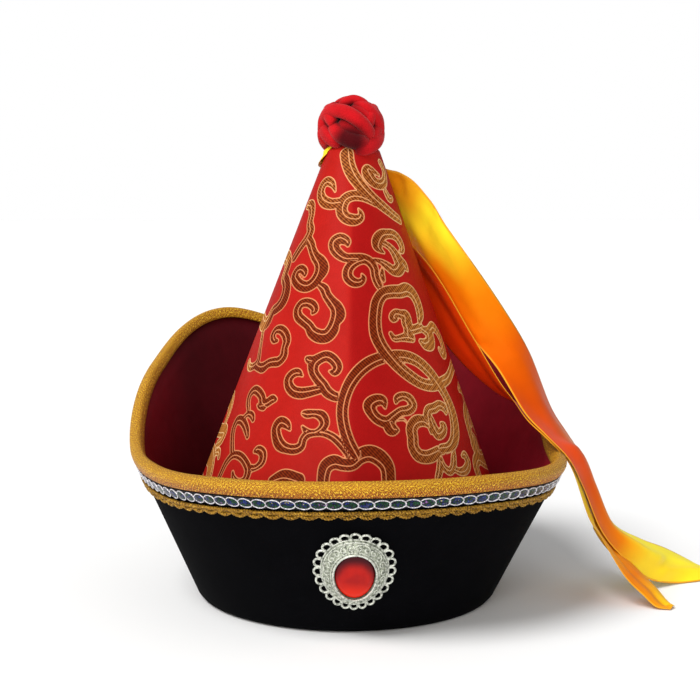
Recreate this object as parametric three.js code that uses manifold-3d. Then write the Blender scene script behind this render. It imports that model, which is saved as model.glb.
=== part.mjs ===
// A Mongolian hat: a pointed brocade crown inside a black upturned brim with gold and silver trims,
// an oval medallion at the front, a cord knot on the tip and two satin ribbons that fall to one side.
// Units are millimetres. The hat stands on z = 0, its front faces -Y, and azimuths turn from the front
// towards +X.

import * as THREE from "three";
import { LoftGeometry } from "three/addons/geometries/LoftGeometry.js";
import { mergeVertices } from "three/addons/utils/BufferGeometryUtils.js";
import Module from "manifold-3d";

const wasm = await Module();
wasm.setup();

// Driving sizes

const GAP = 0.3; // between pieces that touch
const HEM = { halfWidth: 87.4, halfDepth: 103, inward: 7.5, heelRadius: 6 }; // the hat stands on this ring
const CLOTH = { shell: 3, lining: 1.2, crown: 2.5, binding: 1.2, braid: 1.2, ribbon: 1.2 };
const BINDING = { outerLeg: 5.6, innerLeg: 6, shoulder: 0.6, crest: 2.2, rounding: 1.9 };
const LINING_START = -3.4; // along the wall, where the lining is tucked under the crown
const SEQUIN_BRAID = { below: 6.4, width: 6.6, wave: 0, repeats: 30 };
const SCALLOP_BRAID = { below: 14.7, width: 3.8, wave: 0.9, repeats: 72 };

// The wall's height above the surface and its tilt outwards, every 30 degrees all the way round.
const RIM = [
  { azimuth: 0, height: 91, tilt: 27 },
  { azimuth: 30, height: 90, tilt: 27.5 },
  { azimuth: 60, height: 87, tilt: 28.5 },
  { azimuth: 90, height: 91, tilt: 24 },
  { azimuth: 120, height: 128, tilt: 20.5 },
  { azimuth: 150, height: 160, tilt: 22 },
  { azimuth: 180, height: 142, tilt: 23 },
  { azimuth: 210, height: 162, tilt: 22 },
  { azimuth: 240, height: 132, tilt: 21 },
  { azimuth: 270, height: 95, tilt: 23.5 },
  { azimuth: 300, height: 87, tilt: 25 },
  { azimuth: 330, height: 89, tilt: 26.5 },
];
const RIM_STEP = 360 / RIM.length;
const RIM_SECTIONS = 60;

// The crown's outside: half its width and half its depth at each height, and how far it leans to +X.
const CROWN = [
  { height: 3.3, halfWidth: 83, halfDepth: 98.6 },
  { height: 30, halfWidth: 88.5, halfDepth: 103.5 },
  { height: 56, halfWidth: 92, halfDepth: 106 },
  { height: 68, halfWidth: 90.8, halfDepth: 104 },
  { height: 150, halfWidth: 61, halfDepth: 68.5 },
  { height: 272, halfWidth: 16.2, halfDepth: 16.2 },
  { height: 276, halfWidth: 12, halfDepth: 12 },
];
const CROWN_LEAN = { from: 68, to: 276, byX: 4.6 };
const CROWN_SIDES = 44;

const MEDALLION = {
  along: 49, stoneHalfWidth: 10.1, stoneHalfHeight: 15.4, ring: 12, sides: 36,
  scallops: 24, scallopRadius: 2.9, scallopSides: 8, holeRadius: 1.25, holeSides: 5, plate: 1.1,
};
const STONE = { seat: 0.9, thickness: 6.2, table: 0.72, shoulder: 0.93, sides: 24 };

// The setting's profile, from the stone's hole out to the scallops and back along its underside.
const SETTING = [
  { beyondStone: 9.6, height: 0 },
  { beyondStone: 9.6, height: 1.1 },
  { beyondStone: 8, height: 2.2 },
  { beyondStone: 4, height: 4.6 },
  { beyondStone: 1.6, height: 6 },
  { beyondStone: 1.1, height: 6.9 },
];

const KNOT = {
  x: 3.1, width: 41.5, height: 37.5, bottom: 269, strand: 5.6, core: 14, arcs: 6, steps: 10,
  turns: 3, waves: 5, latitude: 0.92, swell: 0.1, tilt: 20,
};

// The ribbons' edges, from behind the tip, over the brim's right side and down to the surface.
// bow is how far the cloth bulges between its edges.
const OUTER_RIBBON = [
  { left: [-1, 27.4, 255], right: [1, 22.6, 267], bow: 0 },
  { left: [9, 37, 245], right: [12, 23, 266], bow: 1 },
  { left: [20, 37.5, 234], right: [24, 17, 262], bow: 2 },
  { left: [34, 30, 224], right: [41, 10, 255], bow: 3 },
  { left: [57, 16, 192], right: [63, -2, 225], bow: 3 },
  { left: [76, -2, 160], right: [97, -6, 176], bow: 3 },
  { left: [92, -15, 140], right: [113, -3, 150], bow: 4 },
  { left: [116, -19, 112], right: [131, 10, 110], bow: 3 },
  { left: [132.5, -17.5, 99], right: [141, 13, 95], bow: 2 },
  { left: [141, -19.5, 84], right: [152, 12, 78], bow: 2 },
  { left: [147, -24, 69], right: [159, 8, 61], bow: 1 },
  { left: [159, -30, 40], right: [169, 1, 39], bow: 1 },
  { left: [175, -26, 23], right: [186, 3, 29], bow: 3 },
  { left: [191, -13, 9], right: [205, 15, 20], bow: 4 },
  { left: [211, 0, 2], right: [221, 24, 11], bow: 4 },
  { left: [228, 5, 1], right: [235, 27, 3], bow: 3 },
  { left: [238, 12, 1], right: [241, 18, 1], bow: 1 },
];
const INNER_RIBBON = [
  { left: [-7, 24.4, 253], right: [-5, 19.4, 265], bow: 0 },
  { left: [9, 36, 234], right: [8, 26.6, 254], bow: -1 },
  { left: [25, 41, 213], right: [21, 29, 236], bow: -2 },
  { left: [49, 37, 174], right: [53, 8, 201], bow: -1 },
  { left: [71, 22, 143], right: [77, -11, 160], bow: 0 },
  { left: [93, 12, 123], right: [94, -18, 131], bow: 1 },
  { left: [107, 9, 115], right: [102, -21, 120], bow: 0 },
  { left: [123, 7, 107], right: [113, -23, 109], bow: -1 },
  { left: [135, 6, 97], right: [130, -24, 96.5], bow: -1 },
  { left: [144, 3, 82], right: [135.5, -27, 82.5], bow: 0 },
  { left: [156, -9, 48], right: [146, -39, 50], bow: 0 },
  { left: [163, -16, 33], right: [152, -46, 40], bow: 0 },
  { left: [180, -32, 15], right: [165, -57, 18], bow: -2 },
  { left: [187, -41, 8], right: [174, -61, 9], bow: -3 },
  { left: [192, -51, 2], right: [182, -64, 2], bow: -2 },
  { left: [194, -60, 1], right: [190, -66, 1], bow: -1 },
];
const LOOP_RIBBON = [
  { left: [-7.5, 18.4, 261.5], right: [-6.5, 16, 269.5], bow: 0 },
  { left: [-13, 13.5, 263.5], right: [-10, 12, 272], bow: 0 },
  { left: [-15, 8, 265.5], right: [-12, 7, 272.5], bow: 0 },
  { left: [-14.5, 3, 266.5], right: [-12.5, 3, 272.5], bow: 0 },
];
const RIBBON_STEPS = { long: 34, short: 6, across: 4 };

const radians = THREE.MathUtils.degToRad;

// Meshes and solids

// The geometry's positions alone, with one vertex for each place.
function welded(geometry) {
  const bare = geometry.index ? geometry.toNonIndexed() : geometry.clone();
  bare.deleteAttribute("normal");
  bare.deleteAttribute("uv");
  return mergeVertices(bare, 1e-4);
}

function mesh(name, geometry, color, roughness, metalness = 0) {
  const shape = welded(geometry);
  shape.computeVertexNormals();
  const made = new THREE.Mesh(shape, new THREE.MeshStandardMaterial({ color, roughness, metalness }));
  made.name = name;
  return made;
}

function solidOf(geometry) {
  const merged = welded(geometry);
  return new wasm.Manifold(new wasm.Mesh({
    numProp: 3,
    vertProperties: merged.attributes.position.array,
    triVerts: new Uint32Array(merged.index.array),
  }));
}

function geometryOf(solid) {
  const { vertProperties, triVerts } = solid.getMesh();
  const geometry = new THREE.BufferGeometry();
  geometry.setAttribute("position", new THREE.BufferAttribute(new Float32Array(vertProperties), 3));
  geometry.setIndex(new THREE.BufferAttribute(new Uint32Array(triVerts), 1));
  return geometry;
}

function loftSolid(rings) {
  return solidOf(new LoftGeometry(rings, { capStart: true, capEnd: true }));
}

// Moves each vertex to where place(point) says.
function reshaped(geometry, place) {
  const position = geometry.attributes.position;
  const point = new THREE.Vector3();
  for (let i = 0; i < position.count; i++) {
    place(point.fromBufferAttribute(position, i));
    position.setXYZ(i, point.x, point.y, point.z);
  }
  return geometry;
}

// The brim's wall

// A smooth value between the rim's rows.
function rimValue(column, azimuth) {
  const place = THREE.MathUtils.euclideanModulo(azimuth, 360) / RIM_STEP;
  const row = Math.floor(place);
  const t = place - row;
  const [a, b, c, d] = [-1, 0, 1, 2].map((i) => RIM[(row + i + RIM.length) % RIM.length][column]);
  return b + 0.5 * t * (c - a + t * (2 * a - 5 * b + 4 * c - d + t * (3 * (b - c) + d - a)));
}

// The wall at one azimuth: its foot on the surface, the way out, the tilt and the length up to the rim.
function wallAt(azimuth) {
  const turn = radians(azimuth);
  const foot = new THREE.Vector2(HEM.halfWidth * Math.sin(turn), -HEM.halfDepth * Math.cos(turn));
  const outward = new THREE.Vector2(
    HEM.halfDepth * Math.sin(turn), -HEM.halfWidth * Math.cos(turn)).normalize();
  const rise = Math.PI / 2 - radians(rimValue("tilt", azimuth));
  const heel = HEM.heelRadius * rise;
  const heelHeight = HEM.heelRadius * (1 - Math.cos(rise));
  const length = heel + (rimValue("height", azimuth) - heelHeight) / Math.sin(rise);
  return { foot, outward, rise, heel, length };
}

// A point on the wall: how far along it from the foot, and how far out of its outer face.
function onWall(wall, along, out) {
  const radius = HEM.heelRadius;
  const bend = THREE.MathUtils.clamp(along / radius, 0, wall.rise);
  const straight = Math.max(0, along - wall.heel);
  const flat = Math.min(0, along);
  const offset = flat + (radius + out) * Math.sin(bend) + straight * Math.cos(wall.rise);
  const z = radius - (radius + out) * Math.cos(bend) + straight * Math.sin(wall.rise);
  return new THREE.Vector3(
    wall.foot.x + offset * wall.outward.x, wall.foot.y + offset * wall.outward.y, z);
}

// A closed band round the hat, from a section of [along, out] points at each azimuth. The triangles of a
// crossed band are cut the other way, like those of the face that it lies against, so their gap is even.
function band(sections, sectionAt, crossed = false) {
  const rings = [];
  for (let i = 0; i <= sections; i++) {
    const wall = wallAt((360 * (i % sections)) / sections);
    const ring = sectionAt(wall, i % sections).map(([along, out]) => onWall(wall, along, out));
    rings.push(crossed ? ring : ring.reverse());
  }
  const geometry = new LoftGeometry(rings);
  if (crossed) geometry.index.array.reverse();
  return geometry;
}

const LINING_OUT = -CLOTH.shell - GAP; // the lining's face against the shell
const LINING_IN = LINING_OUT - CLOTH.lining;

function brimShell() {
  return band(RIM_SECTIONS, ({ heel, length }) => [
    [-HEM.inward, 0], [0, 0], [heel / 2, 0], [heel, 0], [length, 0],
    [length, -CLOTH.shell], [heel, -CLOTH.shell], [heel / 2, -CLOTH.shell],
    [0, -CLOTH.shell], [-HEM.inward, -CLOTH.shell],
  ]);
}

function brimLining() {
  return band(RIM_SECTIONS, ({ heel, length }) => [
    [LINING_START, LINING_OUT], [0, LINING_OUT], [heel, LINING_OUT], [length, LINING_OUT],
    [length, LINING_IN], [heel, LINING_IN], [0, LINING_IN], [LINING_START, LINING_IN],
  ], true);
}

function edgeBinding() {
  const { outerLeg, innerLeg, shoulder, crest, rounding } = BINDING;
  const outer = GAP + CLOTH.binding;
  const inner = LINING_IN - GAP - CLOTH.binding;
  return band(RIM_SECTIONS, ({ length }) => [
    [length - outerLeg, outer], [length + shoulder, outer],
    [length + crest, outer - rounding], [length + crest, inner + rounding], [length + shoulder, inner],
    [length - innerLeg, inner], [length - innerLeg, inner + CLOTH.binding],
    [length + GAP, inner + CLOTH.binding], [length + GAP, GAP],
    [length - outerLeg, GAP],
  ]);
}

// A flat braid on the wall's outer face, one or both of its edges waving in and out.
function braid({ below, width, wave, repeats }, upperWaves) {
  return band(2 * repeats, ({ length }, i) => {
    const swell = i % 2 ? wave : -wave;
    const top = length - below + (upperWaves ? swell : 0);
    const bottom = length - below - width - swell;
    return [[bottom, GAP + CLOTH.braid], [top, GAP + CLOTH.braid], [top, GAP], [bottom, GAP]];
  });
}

// The crown

function crownRing({ height, halfWidth, halfDepth }, outwards, up = 0) {
  const { from, to, byX } = CROWN_LEAN;
  const lean = (byX * Math.max(0, height - from)) / (to - from);
  return Array.from({ length: CROWN_SIDES }, (_, i) => {
    const turn = (2 * Math.PI * i) / CROWN_SIDES;
    const x = lean + (halfWidth + outwards) * Math.sin(turn);
    return new THREE.Vector3(x, -(halfDepth + outwards) * Math.cos(turn), height + up);
  });
}

function crown() {
  const outside = loftSolid(CROWN.map((row) => crownRing(row, 0)));
  const hollow = loftSolid(CROWN.map((row, i) => {
    const up = i === 0 ? -GAP : i < CROWN.length - 2 ? 0 : -CLOTH.crown;
    return crownRing(row, -CLOTH.crown, up);
  }));
  return geometryOf(outside.subtract(hollow));
}

// The medallion and its stone are made flat, facing +Z with +Y up, and then laid on the wall.

function layOnWall(geometry) {
  const { along } = MEDALLION;
  const millimetresPerDegree = radians(1) * (HEM.halfWidth + along * 0.5);
  return reshaped(geometry, (point) => {
    const wall = wallAt(point.x / millimetresPerDegree);
    point.copy(onWall(wall, along + point.y, GAP + point.z));
  });
}

function oval(growth, height, sides) {
  const { stoneHalfWidth, stoneHalfHeight } = MEDALLION;
  return Array.from({ length: sides }, (_, i) => {
    const turn = (2 * Math.PI * i) / sides;
    return new THREE.Vector3(
      (stoneHalfWidth + growth) * Math.cos(turn), (stoneHalfHeight + growth) * Math.sin(turn), height);
  });
}

function disc(radius, centre, from, to, sides) {
  return solidOf(new THREE.CylinderGeometry(radius, radius, to - from, sides)
    .rotateX(Math.PI / 2).translate(centre.x, centre.y, (from + to) / 2));
}

// The domed setting, its scalloped edge and the hole through each scallop.
function medallion() {
  const { ring, plate, sides, scallops, scallopRadius, scallopSides, holeRadius, holeSides } = MEDALLION;
  const top = SETTING[SETTING.length - 1].height;
  const inside = { beyondStone: GAP, height: 0 };
  const rows = [inside, ...SETTING, { beyondStone: GAP, height: top }, inside];
  let setting = solidOf(new LoftGeometry(rows.map((row) => oval(row.beyondStone, row.height, sides))));
  const reach = ring - scallopRadius;
  const centres = oval(reach, 0, 2 * scallops).filter((_, i) => i % 2);
  const holes = oval(reach + holeRadius / 2, 0, 2 * scallops).filter((_, i) => i % 2);
  for (const centre of centres) setting = setting.add(disc(scallopRadius, centre, 0, plate, scallopSides));
  for (const hole of holes) setting = setting.subtract(disc(holeRadius, hole, -plate, top, holeSides));
  return layOnWall(geometryOf(setting));
}

function stone() {
  const { seat, thickness, table, shoulder, sides } = STONE;
  const shrink = (share) => (share - 1) * MEDALLION.stoneHalfWidth;
  return layOnWall(new LoftGeometry([
    oval(0, seat, sides), oval(0, thickness - 2, sides), oval(shrink(shoulder), thickness - 0.8, sides),
    oval(shrink(table), thickness, sides),
  ], { capStart: true, capEnd: true }));
}

// The knot: one cord that runs three times round a ball, over and under itself.

class KnotArc extends THREE.Curve {
  constructor(from, to, reach) {
    super();
    Object.assign(this, { from, to, reach });
  }
  getPoint(t, target = new THREE.Vector3()) {
    const turn = 2 * Math.PI * THREE.MathUtils.lerp(this.from, this.to, t);
    const latitude = KNOT.latitude * Math.cos(KNOT.waves * turn);
    const reach = this.reach * (1 + KNOT.swell * Math.sin(2 * KNOT.waves * turn));
    return target.setFromSphericalCoords(reach, Math.PI / 2 - latitude, KNOT.turns * turn);
  }
}

function topKnot() {
  const { x, width, height, bottom, strand, core, arcs, steps, tilt } = KNOT;
  const radius = width / 2;
  let knot = solidOf(new THREE.IcosahedronGeometry(core, 1));
  const section = new THREE.Shape().absarc(0, 0, strand, 0, 2 * Math.PI);
  const overlap = 0.02;
  for (let i = 0; i < arcs; i++) {
    const path = new KnotArc((i - overlap) / arcs, (i + 1) / arcs, radius - strand);
    knot = knot.add(solidOf(new THREE.ExtrudeGeometry(
      section, { steps, curveSegments: 3, extrudePath: path, bevelEnabled: false })));
  }
  const place = new THREE.Matrix4()
    .makeTranslation(x, 0, bottom + height / 2)
    .multiply(new THREE.Matrix4().makeScale(1, 1, height / width))
    .multiply(new THREE.Matrix4().makeRotationFromEuler(new THREE.Euler(radians(tilt), radians(tilt), 0)));
  const ball = geometryOf(knot.decompose().find((body) => body.volume() > 0)).applyMatrix4(place);
  const tip = loftSolid(CROWN.slice(-3).map((row) => crownRing(row, GAP, GAP)));
  return geometryOf(solidOf(ball).subtract(tip));
}

// The ribbons

// A strip of cloth between two edge curves, bowed between them.
function ribbon(stations, steps) {
  const edge = (side) => new THREE.CatmullRomCurve3(stations.map((row) => new THREE.Vector3(...row[side])));
  const left = edge("left");
  const right = edge("right");
  const { across } = RIBBON_STEPS;
  const middle = (t) => left.getPoint(t).lerp(right.getPoint(t), 0.5);
  const sections = [];
  for (let i = 0; i <= steps; i++) {
    const t = i / steps;
    const from = left.getPoint(t);
    const to = right.getPoint(t);
    const along = middle(Math.min(1, t + 0.01)).sub(middle(Math.max(0, t - 0.01)));
    const facing = along.cross(to.clone().sub(from)).normalize();
    const row = Math.min(Math.floor(t * (stations.length - 1)), stations.length - 2);
    const bow = THREE.MathUtils.lerp(
      stations[row].bow, stations[row + 1].bow, t * (stations.length - 1) - row);
    const point = (j, side) => {
      const share = j / across;
      const out = 4 * bow * share * (1 - share) + (side * CLOTH.ribbon) / 2;
      return from.clone().lerp(to, share).addScaledVector(facing, out);
    };
    const under = Array.from({ length: across + 1 }, (_, j) => point(j, -1));
    const over = Array.from({ length: across + 1 }, (_, j) => point(across - j, 1));
    sections.push([...under, ...over]);
  }
  return new LoftGeometry(sections, { capStart: true, capEnd: true });
}

const hat = new THREE.Group();
hat.add(
  mesh("crown", crown(), 0xc11a20, 0.55),
  mesh("brim_shell", brimShell(), 0x0c0c0e, 0.9),
  mesh("brim_lining", brimLining(), 0x5c0f18, 0.7),
  mesh("edge_binding", edgeBinding(), 0xe0a11c, 0.5, 0.3),
  mesh("sequin_braid", braid(SEQUIN_BRAID, true), 0xb9bcc8, 0.35, 0.6),
  mesh("scallop_braid", braid(SCALLOP_BRAID, false), 0xb88a1a, 0.5, 0.4),
  mesh("medallion", medallion(), 0xc9cbc8, 0.3, 1),
  mesh("stone", stone(), 0xd8201c, 0.15),
  mesh("top_knot", topKnot(), 0xb5101a, 0.8),
  mesh("ribbon_loop", ribbon(LOOP_RIBBON, RIBBON_STEPS.short), 0xf0a818, 0.35),
  mesh("ribbon_outer", ribbon(OUTER_RIBBON, RIBBON_STEPS.long), 0xf08a10, 0.35),
  mesh("ribbon_inner", ribbon(INNER_RIBBON, RIBBON_STEPS.long), 0xe86010, 0.35),
);

// The origin is the middle of the box round the whole hat, on the surface that it stands on.
const box = new THREE.Box3().setFromObject(hat);
const middle = box.getCenter(new THREE.Vector3());
hat.position.set(-middle.x, -middle.y, -box.min.z);

export default hat;
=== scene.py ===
"""A Mongolian hat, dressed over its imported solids: brocade crown, velvet brim, gold binding, sequin chain,
scalloped braid, pierced medallion with a red stone, cord knot and satin ribbons.

Sizes are millimetres from the middle of the hem, with the front towards -Y, and azimuths are degrees from the
front towards +X. to_frame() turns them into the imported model's metres."""

import math
import random
from functools import cached_property

import bmesh
import bpy
import numpy as np
from bpy.props import FloatProperty, FloatVectorProperty, IntProperty, PointerProperty
from mathutils import Euler, Matrix, Vector


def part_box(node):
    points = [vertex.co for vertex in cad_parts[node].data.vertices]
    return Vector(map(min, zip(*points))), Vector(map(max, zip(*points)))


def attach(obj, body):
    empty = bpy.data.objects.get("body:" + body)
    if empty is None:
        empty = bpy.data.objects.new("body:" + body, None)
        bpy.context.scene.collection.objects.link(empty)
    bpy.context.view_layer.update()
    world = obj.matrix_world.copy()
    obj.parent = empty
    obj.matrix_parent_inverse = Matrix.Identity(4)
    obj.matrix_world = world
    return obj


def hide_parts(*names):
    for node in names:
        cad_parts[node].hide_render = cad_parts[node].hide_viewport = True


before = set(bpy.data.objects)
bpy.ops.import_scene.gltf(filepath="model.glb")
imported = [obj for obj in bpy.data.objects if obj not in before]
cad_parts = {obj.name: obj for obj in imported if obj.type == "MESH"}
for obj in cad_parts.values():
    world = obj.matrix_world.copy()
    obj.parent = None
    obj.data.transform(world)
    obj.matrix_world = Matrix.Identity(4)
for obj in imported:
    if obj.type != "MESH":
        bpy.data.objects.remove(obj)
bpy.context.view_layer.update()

bl_info = {
    "name": "Mongolian Hat",
    "version": (1, 0, 0),
    "blender": (4, 5, 0),
    "location": "3D View > Sidebar > Hat",
    "description": "Dresses a Mongolian hat in brocade, velvet, braid, metal, cord and satin",
    "category": "Add Mesh",
}

MM = 0.001
FLOOR_RADIUS = 9  # metres

# The photograph's width and height in pixels. Its camera: how far from the hat's middle and how high, the
# focal length in pixels, its turn down and round, and the column of pixels where the hat's middle stands.
PICTURE = 700
CAMERA = {"distance": 1035, "height": 256, "focal": 1681, "pitch": 5.86, "azimuth": -2.5, "base_x": 346}
SENSOR = 36  # millimetres

# The brim: its oval hem, and its wall's height and lean from upright every RIM_STEP degrees
HEM = {"half_width": 87.4, "half_depth": 103, "inward": 7.5, "heel_radius": 6}
RIM_HEIGHT = np.array([91, 90, 87, 91, 128, 160, 142, 162, 132, 95, 87, 89], float)
RIM_TILT = np.array([27, 27.5, 28.5, 24, 20.5, 22, 23, 22, 21, 23.5, 25, 26.5], float)
RIM_STEP = 30
SHELL = 3  # the wall's thickness
LINING_START = -3.4  # along the wall from its foot
LINING_OUT = -3.3  # how far out its back lies
LINING_IN = -4.5  # how far out its face lies
LINING_PAINTED_SHADE = (-135, -98, 30, 75)  # x from lit to full painted shade at the left, and from full painted shade to lit at the right
RIM_ROUND = 930  # millimetres round the rim, on average
LINING_ACROSS = 110  # millimetres of cloth across the lining and back
BINDING_ACROSS = 30  # millimetres of braid across the binding and back
BRIM_COLUMNS = 240
BINDING_COLUMNS = 480
TAPE_COLUMNS = 360

# The crown's outside, its lean to +X from one height to another, and the soft crease down its front
CROWN_HEIGHT = np.array([3.3, 30, 56, 68, 150, 272, 276], float)
CROWN_HALF_WIDTH = np.array([83, 88.5, 92, 90.8, 61, 16.2, 12], float)
CROWN_HALF_DEPTH = np.array([98.6, 103.5, 106, 104, 68.5, 16.2, 12], float)
CROWN_LEAN = {"start": 68, "end": 276, "by_x": 4.6}
CREASE = {"x": -3, "radius": 4, "reach": 14, "top": 272, "fade": 90}
CROWN_COLUMNS = 348
CROWN_ROWS = 280
CROWN_FRONT_SHARE = 0.66  # of the columns, on the front half, where the pattern is seen closest
CROWN_CLOTH = (-0.5, -2.5)  # how far out the inner piece's two faces lie
CROWN_INSIDE = (560, 520)  # millimetres of cloth round the inner piece, and up it and back

# The brocade: how its cloth lies on the crown, and its lines
CLOTH_APEX = 313  # height of the point that the developed crown turns about
CLOTH_SLOPE = 1.076  # millimetres of cloth to a millimetre of height
CLOTH_TURN = 0.37  # turn of the flat cloth to a turn round the crown
FAR = 9.0  # millimetres, past any line of the pattern
LINE_REACH = 0.45  # millimetres from a scroll's edge to the outside of its line
INNER_BAND = 2.9  # millimetres from a scroll's inner edge to its inner line
THIN = 1.7  # half the width under which a scroll has no inner line

# Scrolls that are used again: at the crown's sides, by a shift for those between two x, and behind the brim,
# made wider, moved down and shifted, for those between a low and a high y
SIDE_COPIES = ((128, -40, 56), (-128, -56, 20))
LOWER_COPIES = {"low": -140, "high": -93, "down": 158, "widen": 1.3, "shifts": (-140, -50, 20, 95)}

# The sequin chain, measured down from the rim's edge. share is half a link's or a sequin's length as a share
# of the distance from link to link.
TAPE = {"top": 6.6, "bottom": 12.8, "back": 0.3, "face": 0.9}
LINK = {"below": 9.7, "half_height": 2.8, "share": 0.53, "out": 1.35, "weave": 0.3, "thread": 0.36}
SEQUIN = {"half_height": 2.3, "share": 0.47, "out": 1.5, "dome": 0.25}

# The scalloped braid's two pairs of strands: how far below the rim's edge, how far they wave, and their turn
BRAID_PAIRS = ((15.6, 0.2, 0), (16.7, 2.1, 0.8))
BRAID = {"thread": 0.74, "twist": 0.6, "out": 1.1, "depth": 0.5, "twists_per_scallop": 3}

# The medallion: how far across and along the brim's wall it lies, half the stone's size, and its wires and
# its dome by how far they lie beyond the stone, which is their growth
MEDALLION = {"across": -0.9, "along": 49, "half_width": 10, "half_height": 15.2, "gap": 0.3}
SCALLOPS = 24
SCALLOP_WIRE = 0.7
SCROLL_PAIRS = 12
SCROLL_WIRE = 0.36
SCROLL_LIFT = 0.25
DOME = {"inner": 0.3, "outer": 7.9, "thickness": 1.1}
DOME_GROWTH = (0.3, 1.6, 4, 7, 7.9)
DOME_HEIGHT = (6.2, 6, 4.6, 2.4, 0.8)
STONE_GROWTH = 0.5
STONE_SHARE = (0, 0.7, 0.88, 0.96, 1)
STONE_HEIGHT = (6.9, 6.7, 6.1, 5.4, 3.6)
RING_WIRES = ((0.9, 0.62, 0.4), (2.1, 0.3, 0.1), (6.7, 0.4, 0.1), (7.7, 0.45, 0.3))  # growth, radius, lift
ARCH = ((-0.38, 7.5, 1.1), (-0.43, 9.2, 1.1), (-0.28, 10.9, 1.2), (0, 11.5, 1.3), (0.28, 10.9, 1.2),
        (0.43, 9.2, 1.1), (0.38, 7.5, 1.1))  # share of a scallop's width, growth, height
CURL = ((0.02, 6.1), (0.2, 5.9), (0.4, 5.1), (0.42, 3.9), (0.28, 3.2), (0.14, 3.7), (0.16, 4.5),
        (0.27, 4.7))  # share of a scroll's width, growth

# The ribbons: their width, the satin's thickness, and their lengths
RIBBON_WIDTH = 34
SATIN = 0.4
OUTER_LENGTH = 375
INNER_LENGTH = 345
LOOP = {"width": 10, "length": 34, "edge_lift": 1.2}

# The ribbons' edges: left x, y, z, right x, y, z and how far the cloth bulges between them
OUTER_RIBBON = [
    (-1, 27.4, 255, 1, 22.6, 267, 0), (9, 37, 245, 12, 23, 266, 1), (20, 37.5, 234, 24, 17, 262, 2),
    (34, 30, 224, 41, 10, 255, 3), (57, 16, 192, 63, -2, 225, 3), (76, -2, 160, 97, -6, 176, 3),
    (92, -15, 140, 113, -3, 150, 4), (109, -24, 112, 131, 10, 110, 3), (120, -31, 100.5, 141, 13, 95, 2),
    (134, -32, 86, 152, 12, 78, 2), (143.5, -27, 69, 159, 8, 61, 1), (155.5, -33, 40, 169, 1, 39, 1),
    (171, -29, 22, 186, 3, 29, 3), (187, -18, 8, 205, 15, 20, 4), (207, -4, 1.5, 221, 24, 11, 4),
    (228, 5, 1, 235, 27, 3, 3), (238, 12, 1, 241, 18, 1, 1),
]
INNER_RIBBON = [
    (-7, 24.4, 253, -5, 19.4, 265, 0), (9, 36, 234, 8, 26.6, 254, -1), (25, 41, 213, 21, 29, 236, -2),
    (49, 37, 174, 53, 8, 201, -1), (71, 22, 143, 77, -11, 160, 0), (93, 12, 123, 94, -18, 131, 1),
    (107, 9, 115, 102, -21, 120, 0), (123, 7, 107, 109.5, -24, 109, -1), (135, 6, 97, 121, -31.5, 98, -1),
    (144, 3, 82, 134.5, -30, 83, 0), (156, -9, 48, 146, -39, 50, 0), (163, -16, 33, 152, -46, 40, 0),
    (180, -32, 15, 165, -57, 18, -2), (187, -41, 8, 174, -61, 9, -3), (192, -51, 2, 182, -64, 2, -2),
    (194, -60, 1, 190, -66, 1, -1),
]
# The fold left of the tip: azimuth, lower and upper edge's height, and how far it stands off the crown
LOOP_RIBBON = [
    (-150, 262, 270, .6), (-128, 262, 270.5, .8), (-108, 263, 271.5, 1), (-94, 264.5, 273, 1.2),
    (-82, 267, 275, 1.2), (-70, 270.5, 277, .8),
]

# Painted light on the satin: how yellow it shows where lit, from 0 deep orange in painted shade to 1 yellow
# in
# painted highlight: the place along the ribbon, and the tone at its left and right edge
OUTER_PAINTED_LIGHT = [
    (0, .6, .6), (.14, .65, .6), (.16, 1, .6), (.2, 1, .7), (.22, .8, .95), (.25, .55, .9), (.28, .5, .6),
    (.36, .38, .36), (.45, .26, .3), (.52, .15, .45), (.57, .2, .85), (.65, .35, .95), (.72, .55, 1),
    (.78, .85, 1), (1, .95, 1),
]
INNER_PAINTED_LIGHT = [
    (0, 0, .1), (.3, 0, .12), (.45, .05, .2), (.5, .2, .6), (.55, .6, .8), (.62, .7, .9), (.72, .6, .7),
    (.8, .55, .55), (.9, .75, .6), (1, .8, .65),
]
LOOP_PAINTED_LIGHT = [(0, .6, .6), (.6, .9, 1), (1, .9, .9)]

# Soft creases: where each starts and ends, as millimetres along and across the ribbon, and then its height
# and half its width
OUTER_CREASES = [
    (58, 34, 68, 24, -1.8, 3.5), (70, 20, 92, 8, 1.5, 6), (84, 34, 84, 18, -2, 4), (98, 30, 120, 8, 1.4, 7),
    (205, 16, 300, 17, 3, 7), (130, 4, 190, 12, -1.2, 6), (315, 10, 365, 17, 2, 7),
]
INNER_CREASES = [(40, 20, 130, 16, -1.2, 6), (240, 17, 330, 17, 3, 6), (150, 26, 185, 20, 1.2, 4)]
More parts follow.
